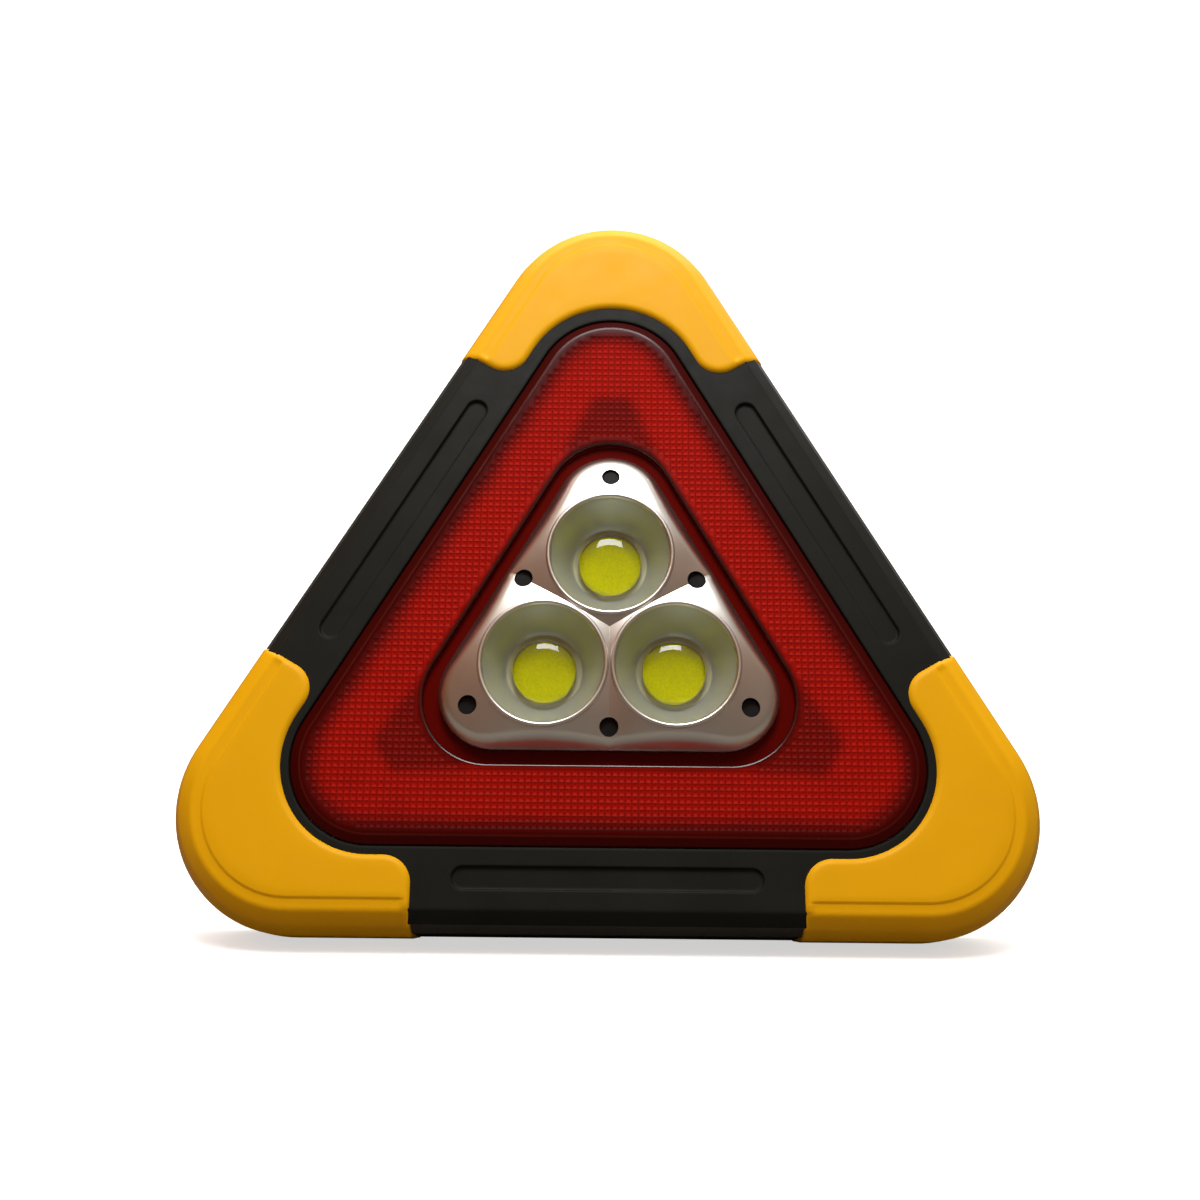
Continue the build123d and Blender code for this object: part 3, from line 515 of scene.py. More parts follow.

# ---- painted light and shade of the lens ----
RIM_SHADE_R = 13.5  # radius about the lens's triangle at which painted shade starts to darken it toward its rim
RIM_LOSS = 0.93  # share of the painted light lost to painted shade at the rim
WINDOW_LIGHT_LEFT, WINDOW_GAIN = 0.12, 0.88  # painted light left where the window's painted shade falls, and what comes back beyond it
PATCH_REACH = (58.0, 63.0, 80.0, 84.5)  # fades in and out of each corner's patch of painted shade
PATCH_HALF, PATCH_HALF_AT, PATCH_TAPER = 15.0, 67.0, 0.48  # half its width, where, and its narrowing
# share of the painted light that each corner's painted shade takes away
PATCH_SHADE_SHARE = 0.56
RIPPLE, RIPPLE_SIZE = 0.14, 9.0
# fixed painted light of the ledge under the reflector and of the outer bevel
LEDGE_PAINTED_LIGHT, BEVEL_PAINTED_LIGHT = 0.22, 0.06


def window(radius, z):
    """Ring round the lens's opening."""
    return level(outline(OPENING_REACH, radius), z)


def from_window(x, y):
    return outward(OPENING_REACH, x, y)


def lens_painted_light(x, y):
    """How bright the lens is painted: light from the white tray behind, painted shade at its walls and at the
    corners.
    """
    painted_light = 1.0 - RIM_LOSS * smooth_step(RIM_SHADE_R, TOP_R, outward(LENS_REACH, x, y))
    lit = smooth_step(GRID_IN - 0.9, GRID_IN + 1.2, from_window(x, y))
    painted_light *= WINDOW_LIGHT_LEFT + WINDOW_GAIN * lit
    # a patch of painted shade at each corner
    near, inner, outer, far = PATCH_REACH
    for corner in CORNERS:
        ux, uy = polar(corner, 1.0)
        reach = x * ux + y * uy
        across = abs(-x * uy + y * ux)
        spread = PATCH_HALF - (reach - PATCH_HALF_AT) * PATCH_TAPER
        corner_shade = smooth_step(near, inner, reach) * (1 - smooth_step(outer, far, reach))
        corner_shade *= 1 - smooth_step(spread - 4.5, spread + 1.5, across)
        painted_light *= 1.0 - PATCH_SHADE_SHARE * corner_shade
    ripple = noise.noise(Vector((x / RIPPLE_SIZE, y / RIPPLE_SIZE, 0.3)))
    return max(0.03, min(1.0, painted_light * (1.0 + RIPPLE * ripple)))


def prism_field():
    """Square grid of hollow pyramids in the lens's front: their corners, the edges and the middles."""
    reach = LENS_REACH + GRID_OUT
    count = ceil(reach / PRISM) + 1

    def in_field(x, y):
        return outward(LENS_REACH, x, y) < GRID_OUT and from_window(x, y) > GRID_IN

    def corner_at(i, j):
        return ((i + 0.5) * PRISM, (j + 0.5) * PRISM)

    flat = {}
    edges = set()
    middles = []
    for i in range(-count, count):
        for j in range(-count, count):
            square = [(i, j), (i + 1, j), (i + 1, j + 1), (i, j + 1)]
            if not all(in_field(*corner_at(*c)) for c in square):
                continue
            for c in square:
                flat.setdefault(c, corner_at(*c))
            for a, b in zip(square, square[1:] + square[:1]):
                edges.add((min(a, b), max(a, b)))
            middles.append(((i + 1) * PRISM, (j + 1) * PRISM))
    return flat, edges, middles


def lens_outer_steps():
    """(radius, level) steps from the foot of the outer wall over the bevel to the top."""
    across, fall = LENS_R - TOP_R, LENS_TOP + 0.4
    steps = [(LENS_R, WALL_FOOT), (LENS_R, -0.75), (LENS_R - 0.1, -0.45), (LENS_R - 0.35, -0.22)]
    steps += [(TOP_R + across * 0.35, LENS_TOP - fall * 0.33), (TOP_R + across * 0.14, LENS_TOP - 0.15)]
    return steps + [(TOP_R - 0.25, LENS_TOP - 0.02), (TOP_R - 0.6, LENS_TOP)]


def lens_walls(shape, outer, lip):
    """Outer wall, window wall, the ledge under the reflector and the hollow back."""
    rows = [shape.row(level(outline(LENS_REACH, r), z)) for r, z in outer]
    shape.bands(rows)
    inner = lip + [(OPENING_R, -1.5), (OPENING_R - 0.15, LEDGE_TOP)]
    inner_rows = [shape.row(window(r, z)) for r, z in inner]
    shape.bands(inner_rows)
    back = [shape.row(level(outline(PLATE_REACH, LEDGE_R), z)) for z in (LEDGE_TOP, LEDGE_UNDER)]
    back += [shape.row(window(OPENING_R + WINDOW_WALL, z)) for z in (LEDGE_UNDER, PANE_UNDER)]
    back += [shape.row(level(outline(LENS_REACH, WALL_IN_R), z)) for z in (PANE_UNDER, WALL_FOOT)]
    shape.bands([inner_rows[-1], *back, rows[0]])


def lens_front(shape, outer_r, inner_r):
    """Ribbed front between two radii; gives the number of its first point inside the smooth borders."""
    flat, edges, middles = prism_field()
    border_out = outline(LENS_REACH, outer_r)
    border_in = outline(OPENING_REACH, inner_r)
    points = [Vector(p) for p in border_out + border_in]
    on_borders = len(points)
    links = ring_links(0, len(border_out)) + ring_links(len(border_out), len(border_in))
    index = {}
    for key, point in flat.items():
        index[key] = len(points)
        points.append(Vector(point))
    links += [(index[a], index[b]) for a, b in edges]
    first_middle = len(points)
    points += [Vector(m) for m in middles]

    def placed(point, source):
        sunk = source and source[0] >= first_middle
        return (point.x, point.y, LENS_TOP - (PRISM_DEPTH if sunk else 0.0))

    def wanted(x, y):
        return outward(LENS_REACH, x, y) < outer_r - 0.001 and from_window(x, y) > inner_r + 0.001

    return fill(shape, points, links, placed, wanted) + on_borders


def lens_values(points, first_ribbed):
    """What the paint reads at each point: painted light and shade, place in its prism, and whether it is ribbed.
    """
    painted_lights = []
    for x, y, z in points:
        # the ledge and the bevel, below the lit front, get a fixed painted light
        low = LEDGE_PAINTED_LIGHT if from_window(x, y) < OPENING_R + 0.1 else BEVEL_PAINTED_LIGHT
        painted_lights.append(lens_painted_light(x, y) if z > 0.3 else low)
    cells = [(x / PRISM + 0.5, y / PRISM + 0.5, 0.0) for x, y, z in points]
    ribbed = [1.0 if i >= first_ribbed else 0.0 for i in range(len(points))]
    return [("painted_light", "FLOAT", painted_lights), ("cell", "FLOAT_VECTOR", cells), ("ribbed", "FLOAT", ribbed)]


def red_lens():
    shape = Shape()
    outer = lens_outer_steps()
    lip = fillet_steps(OPENING_R + LIP_R, LENS_TOP - LIP_R, LIP_R, 90, 180, 8)
    lens_walls(shape, outer, lip)
    first_ribbed = lens_front(shape, outer[-1][0], lip[0][0])
    values = lens_values(shape.points, first_ribbed)
    lens = shape.build("red_lens_prisms", RED, "lamp", "lens_red", "red_lens", sharp=8, values=values)
    lens.data.materials.append(RED_EDGE)
    lens.data.materials.append(RED_RIM)
    for face in lens.data.polygons:
        x, y, z = lamp_point(face.center)
        # lip and top rim faces take the glossier copies, in the painted shade's dark red
        if 0 < from_window(x, y) - OPENING_R < LIP_R and z > LENS_TOP - LIP_R:
            face.material_index = 1
        elif z > LENS_TOP - 0.15 and TOP_R - 0.25 < outward(LENS_REACH, x, y) < TOP_R + 0.5:
            face.material_index = 2


red_lens()

# ================= reflector =================

HEM = -1.25  # lower edge of the plate's outer wall
SKIN = 0.9
WALL_DEPTH = -3.0
FLANK_R = 14.0  # radius about the plate's triangle at which its flank has the cups' height
FLANK_FALL, FLANK_RUN = 6.6, 4.0
FLANK_BLEND = 2.4
BEAD_R = 0.85
CUP_BACK = -7.0
SCREW_SPOTS = [polar(corner, 51.2) for corner in CORNERS] + [polar(side, 32.15) for side in SIDES]
SCREW_HOLE_R = 3.0
DOME_TIP = -1.1
DOME_FOOT_R = 11.5
DOME_HOLLOW, DOME_BACK = -7.55, -8.55


def from_cup(x, y):
    """Distance of a point from the nearest cup's axis."""
    return min(hypot(x - cx, y - cy) for cx, cy in (polar(c, CUP_REACH) for c in CORNERS))


def plate_height(x, y):
    """Height of the plate: collars falling from the cups' rims, and a rounded flank."""
    collar = CUP_RIM - (from_cup(x, y) - CUP_R) * COLLAR_SLOPE
    flank = CUP_RIM - (outward(PLATE_REACH, x, y) - FLANK_R) * FLANK_FALL / FLANK_RUN
    return soft_min(collar, flank, FLANK_BLEND)


def ray_end(cx, cy, angle, own):
    """Where a ray from a cup's middle leaves the cup's own part of the plate, and whether at the outline."""
    dx, dy = cos(angle), sin(angle)
    others = [polar(c, CUP_REACH) for c in CORNERS if c != own]

    def nearer(t):
        x, y = cx + dx * t, cy + dy * t
        return all(t <= hypot(x - ox, y - oy) + 1e-9 for ox, oy in others)

    def within(t):
        return outward(PLATE_REACH, cx + dx * t, cy + dy * t) <= PLATE_R

    low, high = CUP_R, 60.0
    for _ in range(46):
        mid = (low + high) / 2
        if nearer(mid) and within(mid):
            low = mid
        else:
            high = mid
    return low, nearer(high)


def reflector_plate():
    """Skin of the plate, in three parts that each spread from a cup's rim."""
    shape = Shape()
    junction = Vector(polar(30, PLATE_REACH / 2 + PLATE_R)) - Vector(polar(90, CUP_REACH))
    turn = abs(degrees(atan2(junction.y, junction.x)) - 90)
    rays = sorted({round(a, 6) for a in [i * 1.5 for i in range(240)] + [turn, 360 - turn]})
    start = CUP_R - 0.1
    rim = [(CUP_R - 1.6, WALL_DEPTH), (start, 6.6)]
    collar_steps = [1 - (1 - i / 18) ** 1.5 for i in range(19)]
    hem = [(0.0, HEM), (2.2, HEM), (2.2, WALL_DEPTH)]
    for corner in CORNERS:
        cx, cy = polar(corner, CUP_REACH)
        columns = []
        for ray in rays:
            angle = radians(corner + ray)
            end, at_outline = ray_end(cx, cy, angle, corner)
            column = [(cx + r * cos(angle), cy + r * sin(angle), z) for r, z in rim]
            for t in collar_steps:
                r = start + (end - start) * t
                x, y = cx + r * cos(angle), cy + r * sin(angle)
                column.append((x, y, plate_height(x, y)))
            x, y, z = column[-1]
            for inset, low in hem:
                pull = 1 - inset / hypot(x, y) if at_outline else 1.0
                column.append((x * pull, y * pull, low if at_outline else z))
            columns.append(column)
        shape.bands([shape.row(row) for row in zip(*columns)])
    plate = shape.build("reflector_shell", SILVER, "lamp", "reflector_silver", "reflector_plate", sharp=30)
    skin = plate.modifiers.new("skin", "SOLIDIFY")
    skin.thickness = SKIN * MM
    skin.offset = -1.0
    skin.use_quality_normals = True
    drilled(plate, SCREW_SPOTS, SCREW_HOLE_R, -6.0, 12.0)


def reflector_cups():
    """Three tapered cups, each with a bead round its rim and a seat round the dome."""
    wall = [(CUP_SEAT_R + 6.55 * (t / 12) ** 0.86, CUP_SEAT + 0.35 + 12.75 * t / 12) for t in range(1, 13)]
    bead = fillet_steps(CUP_R - 0.2, CUP_RIM - 0.25, BEAD_R, 165, -30, 13)
    profile = [(DOME_R + 0.15, CUP_BACK), (DOME_R + 0.15, -5.7), (DOME_R + 0.4, CUP_SEAT)]
    profile += [(CUP_SEAT_R - 0.5, CUP_SEAT), (CUP_SEAT_R - 0.1, CUP_SEAT + 0.12)] + wall + bead
    profile += [(CUP_R - 0.25, CUP_RIM - 0.6), (CUP_SEAT_R + 1.0, CUP_SEAT), (CUP_SEAT_R + 1.0, CUP_BACK)]
    shape = Shape()
    for corner in CORNERS:
        x, y = polar(corner, CUP_REACH)
        rings = [shape.row(circle_at(x, y, r, z, 144)) for r, z in profile]
        shape.bands(rings)
        shape.band(rings[-1], rings[0])
    cups = shape.build("reflector_cups_beaded", SATIN, "lamp", "reflector_silver", "reflector_cups", sharp=40)
    cups.data.materials.append(SILVER)
    cups.data.materials.append(SEAT)
    for face in cups.data.polygons:
        x, y, z = lamp_point(face.center)
        if from_cup(x, y) > CUP_R - 1.1 and z > CUP_RIM - 1.0:
            face.material_index = 1
        elif z < CUP_SEAT + 0.2:
            face.material_index = 2


def dome_profile():
    """(radius, level) steps of a dome, from its foot over the shoulder to near its summit."""
    shoulder = 0.5
    edge = DOME_R - shoulder

    def crown(r):
        return DOME_TIP - 3.5 * max(0.0, r / DOME_R - 0.41) ** 2

    profile = [(DOME_FOOT_R, CUP_SEAT - 1.5), (DOME_R, CUP_SEAT - 1.5)]
    profile += fillet_steps(edge, crown(edge) - shoulder, shoulder, 0, 72, 6)
    return profile + [(edge * (1 - i / 24), crown(edge * (1 - i / 24))) for i in range(1, 24)]


def domes():
    """Clear lenses with round shoulders over yellow phosphor discs, which reach up into them."""
    under_steps = [(9.7, DOME_HOLLOW), (9.75, DOME_BACK), (DOME_FOOT_R, DOME_BACK)]
    disc_steps = [(9.4, -8.6), (9.6, -8.5), (9.6, -7.5), (9.55, -7.43), (9.4, -7.4)]
    for corner, name in zip(CORNERS, ("top", "left", "right")):
        x, y = polar(corner, CUP_REACH)
        dome = Shape()
        rings = [dome.row(circle_at(x, y, r, z, 96)) for r, z in under_steps + dome_profile()]
        dome.bands(rings)
        summit = dome.row([(x, y, DOME_TIP)])[0]
        last = rings[-1]
        dome.faces += [(last[i], last[(i + 1) % 96], summit) for i in range(96)]
        dome.cap(rings[0])
        dome.build(f"dome_lens_{name}", CLEAR, "lamp", "lens_clear", f"cob_dome_{name}", sharp=35)
        disc = Shape()
        rings = [disc.row(circle_at(x, y, r, z, 96)) for r, z in disc_steps]
        disc.bands(rings)
        disc.cap(rings[0])
        disc.cap(rings[-1])
        emitter = f"cob_emitter_{name}"
        disc.build(f"phosphor_disc_{name}", PHOSPHOR, "lamp", "phosphor_yellow", emitter, sharp=50)


reflector_plate()
reflector_cups()
domes()

# ================= bumpers =================

PANEL_TOP = 1.2
BAND_TOP = 0.6
EDGE_R = 2.3  # rounding of the bumper's inner edge
SKIRT = -1.2  # how far its inner edge sinks into the frame
BACK, BACK_INSIDE = -37.4, -34.4
SKIN_R = 33.0  # radius about the case's triangle at which the back's flat ends
PANEL_R = 27.8  # and at which the raised panel starts
OUTER_STEPS = (  # (radius about the case's triangle, level, outward normal's share, upward normal's share)
    [(SKIN_R, BACK, 0.0, -1.0), (33.9, -37.3, 0.3, -0.9), (38.6, -31.3, 0.8, -0.6)]
    + [(39.15, -30.3, 0.95, -0.3), (39.3, -29.4, 1.0, 0.0), (39.3, -19.5, 1.0, 0.0)]
    + [(39.3, -9.8, 1.0, 0.0), (39.2, -9.1, 0.97, 0.2)]
    + [(38.95, -8.4, 0.93, 0.35), (37.1, -4.2, 0.9, 0.43), (36.65, -3.4, 0.85, 0.5), (36.0, -2.7, 0.7, 0.7)]
    + [(32.9, -0.2, 0.63, 0.77), (32.3, 0.22, 0.5, 0.87), (31.7, 0.48, 0.3, 0.95), (30.9, BAND_TOP, 0.0, 1.0)]
    + [(28.95, BAND_TOP, 0.0, 1.0), (28.6, BAND_TOP + 0.1, 0.0, 1.0), (28.2, PANEL_TOP - 0.12, 0.0, 1.0)]
    + [(PANEL_R, PANEL_TOP, 0.0, 1.0)]
)
LENS_TANGENT = LENS_REACH * sqrt(3) / 2  # where a side meets the corner's arc, along from its midpoint
CASE_TANGENT = CASE_REACH * sqrt(3) / 2
STRAIGHT_RUN = CASE_TANGENT - LENS_TANGENT
CORNER_ARC = 35.0 * pi / 3  # half the length of the case's corner
LOBE_CORNER = LOBE_END + LOBE_FILLET
BACK_EDGE = [(0.0, -36.9), (0.25, -37.25), (0.7, BACK)]  # (distance from the inner edge, level)
FRONT_STEPS = [2.3, 1.75, 1.25, 0.8, 0.45, 0.2, 0.06, 0.0]  # distances from the inner edge
INSIDE_STEPS = [(31.0, -1.4), (34.2, -3.2), (37.0, -9.0), (37.0, -30.0), (32.6, BACK_INSIDE)]
END_INSETS = (0.0, 0.1, 0.3, 0.6, 1.0, 1.6, 2.3)  # of the first cuts from the lobe's end

# A bumper's cuts are counted by t: 0 at the lobe's end, 1 past its fillet, 1.5 where the lens's corner
# begins and 3 on the corner's axis. The other half is mirrored.


def along_side(t):
    """How far along its side a cut lies, up to the lens's corner."""
    if t <= 1:
        return LOBE_END + LOBE_FILLET * (1 - cos(radians(90 * t)))
    return LOBE_CORNER + (LENS_TANGENT - LOBE_CORNER) * (t - 1) * 2


def inner_point(corner, t):
    """Point of a bumper's inner edge."""
    side, radius = corner - 60, INNER_R[corner]
    out = LENS_REACH / 2 + radius
    if t <= 1:
        return on_side(side, out + LOBE_FILLET * (1 - sin(radians(90 * t))), along_side(t))
    if t <= 1.5:
        return on_side(side, out, along_side(t))
    cx, cy = polar(corner, LENS_REACH)
    a = radians(side + 60 * (t - 1.5) / 1.5)
    return (cx + radius * cos(a), cy + radius * sin(a))


def outer_point(corner, t, r):
    """Point of the same cut at a radius about the case's triangle."""
    side = corner - 60
    if t <= 1.5:
        return on_side(side, CASE_REACH / 2 + r, along_side(t))
    gone = (STRAIGHT_RUN + CORNER_ARC) * (t - 1.5) / 1.5
    if gone <= STRAIGHT_RUN:
        return on_side(side, CASE_REACH / 2 + r, LENS_TANGENT + gone)
    cx, cy = polar(corner, CASE_REACH)
    a = radians(side + 60 * (gone - STRAIGHT_RUN) / CORNER_ARC)
    return (cx + r * cos(a), cy + r * sin(a))


def mirrored(corner, x, y, z):
    """A point on the other side of a corner's axis."""
    ux, uy = polar(corner, 1.0)
    reach = x * ux + y * uy
    return (2 * reach * ux - x, 2 * reach * uy - y, z)


def bumper_cut(corner, t, edge):
    """Points of a cut, from the back's inner edge round the outside to the front's, and back inside."""
    side = radians(corner - 60)
    ix, iy = inner_point(corner, t)
    sx, sy = outer_point(corner, t, SKIN_R)
    end_gap = sy * cos(side) - sx * sin(side) - LOBE_END if t < 2 else 99.0
    skin_drop = rounding(end_gap, 1.0)
    fade = 1 - smooth_step(1.2, 3.2, end_gap)
    points = []
    length = hypot(sx - ix, sy - iy)
    for d, z in BACK_EDGE + [(length * 0.5, BACK)]:
        x, y = ix + (sx - ix) * d / length, iy + (sy - iy) * d / length
        points.append((x, y, z + skin_drop * (d > 0)))
    for r, z, across, up in OUTER_STEPS:
        if r <= 31.0 and z > 0:
            z = z + (PANEL_TOP - z) * fade
        x, y = outer_point(corner, t, r - skin_drop * across)
        if r < 31.0 and z > 0:
            z -= rounding(end_gap, EDGE_R)
        else:
            z -= (rounding(end_gap, EDGE_R) if up > 0.6 else skin_drop) * up
        points.append((x, y, z))
    fx, fy = outer_point(corner, t, PANEL_R)
    span = hypot(fx - ix, fy - iy)
    first = FRONT_STEPS[0]
    for d in [first + (span - first) * i / 6 for i in range(5, 0, -1)] + FRONT_STEPS:
        x, y = ix + (fx - ix) * d / span, iy + (fy - iy) * d / span
        gap = min((Vector((x, y)) - e).length for e in edge)
        points.append((x, y, PANEL_TOP - rounding(min(gap, end_gap), EDGE_R)))
    points.append((ix, iy, SKIRT))
    points += [(*outer_point(corner, t, r), z) for r, z in INSIDE_STEPS]
    points.append((ix, iy, BACK_INSIDE))
    return points


def bumper(corner, name):
    """Corner cap: a skin round the case's corner, with a rounded inner edge and a raised panel."""
    cuts = [degrees(acos(1 - inset / LOBE_FILLET)) / 90 for inset in END_INSETS]
    cuts += [0.55, 0.63, 0.72, 0.8, 0.88, 0.94, 1.0, 1.25, 1.5]
    cuts += [1.5 + 1.5 * i / 26 for i in range(1, 27)]
    edge = [Vector(inner_point(corner, 3 * i / 400)) for i in range(401)]
    half = [bumper_cut(corner, t, edge) for t in cuts]
    other = [[mirrored(corner, *point) for point in points] for points in half[:-1]]
    shape = Shape()
    rows = [shape.row(points) for points in half + other[::-1]]
    shape.bands(rows)
    shape.cap(rows[0])
    shape.cap(rows[-1])
    shape.build(name, YELLOW, "lamp", "bumper_yellow", name.replace("_cap", ""), sharp=50)


for corner, name in zip(CORNERS, ("bumper_top_cap", "bumper_left_cap", "bumper_right_cap")):
    bumper(corner, name)

# ================= front frame =================

GROOVE_Q = 78.2
GROOVE_HALF = 96.5 / 2
GROOVE_WIDE = 7.8 / 2
FRAME_OUTER = [(35.8, -3.0), (35.55, -2.75), (32.0, -0.35), (31.75, -0.16)]
FRAME_OUTER += [(31.3, -0.03), (30.8, 0.0), (30.2, 0.0)]  # (radius about the case's triangle, level)
FRAME_INNER = [(27.2, 0.0), (26.75, 0.0), (26.4, -0.08), (26.18, -0.3), (26.1, -0.6), (26.1, -3.0)]
GROOVE_STEPS = [(-0.5, 0.0), (0.0, 0.0), (0.14, -0.04), (0.26, -0.16), (0.5, -0.92), (0.62, -1.1)]
GROOVE_STEPS += [(0.85, -1.2), (1.5, -1.2)]  # (inset from the lip, level)
FACE_GRID = 2.2


def stadium(side, inset, count=14):
    """Closed outline of a groove, inset from its lip."""
    radius = GROOVE_WIDE - inset
    reach = GROOVE_HALF - GROOVE_WIDE
    points = []
    for end, turn in ((reach, 0), (-reach, 180)):
        for i in range(count + 1):
            a = radians(turn + 180 * i / count)
            points.append(on_side(side, GROOVE_Q + radius * cos(a), end + radius * sin(a)))
    return points


def face_room(x, y):
    """Distance of a point of the frame's face from its nearest border."""
    gaps = [FRAME_OUTER[-1][0] - outward(CASE_REACH, x, y), outward(LENS_REACH, x, y) - FRAME_INNER[0][0]]
    for side in SIDES:
        a = radians(side)
        out = x * cos(a) + y * sin(a) - GROOVE_Q
        along = max(0.0, abs(-x * sin(a) + y * cos(a)) - (GROOVE_HALF - GROOVE_WIDE))
        gaps.append(hypot(out, along) - GROOVE_WIDE - 0.5)
    return min(gaps)


def front_frame():
    """Flat face with a groove along each side, between its outer bevel and the lens's opening."""
    shape = Shape()
    outer = [shape.row(level(outline(CASE_REACH, r), z)) for r, z in FRAME_OUTER]
    shape.bands(outer)
    inner = [shape.row(level(outline(LENS_REACH, r), z)) for r, z in FRAME_INNER]
    shape.bands(inner)
    shape.band(inner[-1], outer[0])
    borders = [outer[-1], inner[0]]
    for side in SIDES:
        rings = [shape.row(level(stadium(side, inset), z)) for inset, z in GROOVE_STEPS]
        shape.bands(rings)
        shape.cap(rings[-1])
        borders.append(rings[0])
    points, links = [], []
    for border in borders:
        links += ring_links(len(points), len(border))
        points += [Vector(shape.points[i][:2]) for i in border]
    grid = [(FACE_GRID * i, FACE_GRID * j) for i in range(-62, 63) for j in range(-40, 66)]
    points += [Vector(p) for p in grid if face_room(*p) > 0.9]
    fill(shape, points, links, lambda p, _: (p.x, p.y, 0.0), lambda x, y: face_room(x, y) > 0.001)
    shape.build("front_frame_grooved", BLACK, "lamp", "frame_black", "front_frame", sharp=32)


front_frame()

# ================= screws, grip and button =================


def basis(axis):
    """Two directions square to an axis of the lamp, and the axis."""
    w = Vector(axis)
    u = Vector((1, 0, 0)) if abs(w.z) > 0.5 else Vector((0, 1, 0))
    return u, w.cross(u), w


def cross_screw(shape, spot, axis, head_r, head_h, shank):
    """Pan head with a cross recess: spot is the middle of the head's underside, and shank its steps below."""
    u, v, w = basis(axis)
    spot = Vector(spot)

    def put(a, b, c):
        return tuple(spot + u * a + v * b + w * c)

    def ring(radius, height):
        return shape.row([put(x, y, z) for x, y, z in circle_at(0, 0, radius, height, 36)])

    top_r = head_r * 0.7
    rows = [ring(r, -drop) for r, drop in shank[::-1]] + [ring(head_r, 0.0)]
    for angle in (0, 25, 50, 70, 90):
        a = radians(angle)
        rows.append(ring(top_r + (head_r - top_r) * cos(a), head_h * (0.45 + 0.55 * sin(a))))
    shape.bands(rows)
    shape.cap(rows[0])
    arm, half = head_r * 0.52, head_r * 0.15
    cross = [(arm, -half), (arm, half), (half, half), (half, arm), (-half, arm), (-half, half)]
    cross += [(-a, -b) for a, b in cross]
    points = [Vector(p[:2]) for p in circle_at(0, 0, top_r, 0, 36)] + [Vector(p) for p in cross]

    def placed(point, source):
        return put(point.x, point.y, head_h)

    def wanted(x, y):
        return not (max(abs(x), abs(y)) < arm and min(abs(x), abs(y)) < half)

    fill(shape, points, ring_links(0, 36) + ring_links(36, 12), placed, wanted)
    mouth = shape.row([put(a, b, head_h) for a, b in cross])
    floor_row = shape.row([put(a * 0.8, b * 0.8, head_h * 0.4) for a, b in cross])
    shape.band(mouth, floor_row)
    shape.cap(floor_row)


def screws(name, node, paint, slot, spots, axis, head, shank):
    """Alike screws as one piece; those whose axis runs across the lamp point outward on both sides."""
    shape = Shape()
    for spot in spots:
        direction = (axis[0] * (1 if spot[0] > 0 else -1), axis[1], axis[2]) if axis[0] else axis
        cross_screw(shape, spot, direction, *head, shank)
    shape.build(name, paint, "lamp", slot, node, sharp=35)


def case_screws():
    out, aside, height = 78.5, 38, -27.0
    spots = [(*on_side(side, out, along), height) for side in SIDES for along in (-aside, aside)]
    head, shank = (2.9, 2.0), [(1.3, 0.0), (1.3, 19.0)]
    screws("case_screws_cross", "case_screws", SCREW_BLACK, "screw_black", spots, (0, 0, -1), head, shank)


def bumper_screws():
    out, aside, height = 124.6, 20, -35.8
    spots = [(*on_side(corner, out, across), height) for corner in CORNERS for across in (-aside, aside)]
    head, shank = (2.9, 1.6), [(1.3, 0.0), (1.3, 10.8)]
    screws("bumper_screws_cross", "bumper_screws", SCREW_BLACK, "screw_black", spots, (0, 0, -1), head, shank)


def pivot_screws():
    block_face = 63.6
    spots = [(side * block_face, PIVOT_Y, PIVOT_Z) for side in (-1, 1)]
    head, shank = (4.8, 2.5), [(3.0, 0.0), (3.0, 7.6), (2.0, 7.6), (2.0, 15.6)]
    screws("pivot_screws_cross", "pivot_screws", SCREW_STEEL, "screw_steel", spots, (1, 0, 0), head, shank)


case_screws()
bumper_screws()
pivot_screws()

GRIP_R = 5.8
GRIP_END = 34.0
GRIP_AXIS_HEIGHT = 0.0052  # of the crossbar's axis above the floor, in metres
RIB_PITCH = 3.15
BAR_HALF = (3.2, 4.0)


def ribbed_grip():
    """Rubber sleeve with rings round it, on the stand's crossbar."""
    grip = frame["nodes"]["stand_grip"]
    middle = sum((grip.matrix_world @ Vector(c) for c in grip.bound_box), Vector()) / 8
    middle.z = GRIP_AXIS_HEIGHT
    _, low, high = lamp_point(middle)
    leg = (middle - PIVOT).normalized()
    turn = atan2(leg.dot(FACE_OUT), leg.dot(FACE_UP))
    around = [2 * pi * i / 72 for i in range(72)]
    thin, wide = BAR_HALF
    tips = sorted({round(s1 * pi + s2 * atan2(wide, thin), 9) % (2 * pi) for s1 in (0, 1) for s2 in (-1, 1)})
    around = sorted([a for a in around if min(abs(a - t) for t in tips) > 0.05] + tips)

    def spun(radius_at, x):
        """Ring round the crossbar; its angles start at the leg's direction."""
        return [(x, low + radius_at(a) * cos(turn + a), high + radius_at(a) * sin(turn + a)) for a in around]

    def bar(a):
        return min((thin + 0.01) / max(abs(cos(a)), 1e-9), (wide + 0.01) / max(abs(sin(a)), 1e-9))

    rib = [(-1.0, GRIP_R), (-0.6, 5.72), (-0.35, 5.3), (0.35, 5.3), (0.6, 5.72), (1.0, GRIP_R)]
    end = [(GRIP_END, 5.2), (GRIP_END - 0.4, 5.65), (GRIP_END - 1.0, GRIP_R)]
    rings = [(-x, r) for x, r in end]
    for i in range(21):
        rings += [(-31.5 + RIB_PITCH * i + step, r) for step, r in rib]
    rings += end[::-1]
    shape = Shape()
    rows = [shape.row(spun(lambda a, r=r: r, x)) for x, r in rings]
    ends = [shape.row(spun(bar, x)) for x in (GRIP_END, -GRIP_END)]
    shape.bands(rows + ends + [rows[0]])
    shape.build("grip_ribbed", RUBBER, "stand", "grip_rubber", "stand_grip", sharp=40)


ribbed_grip()

BUTTON_Y = 80.0


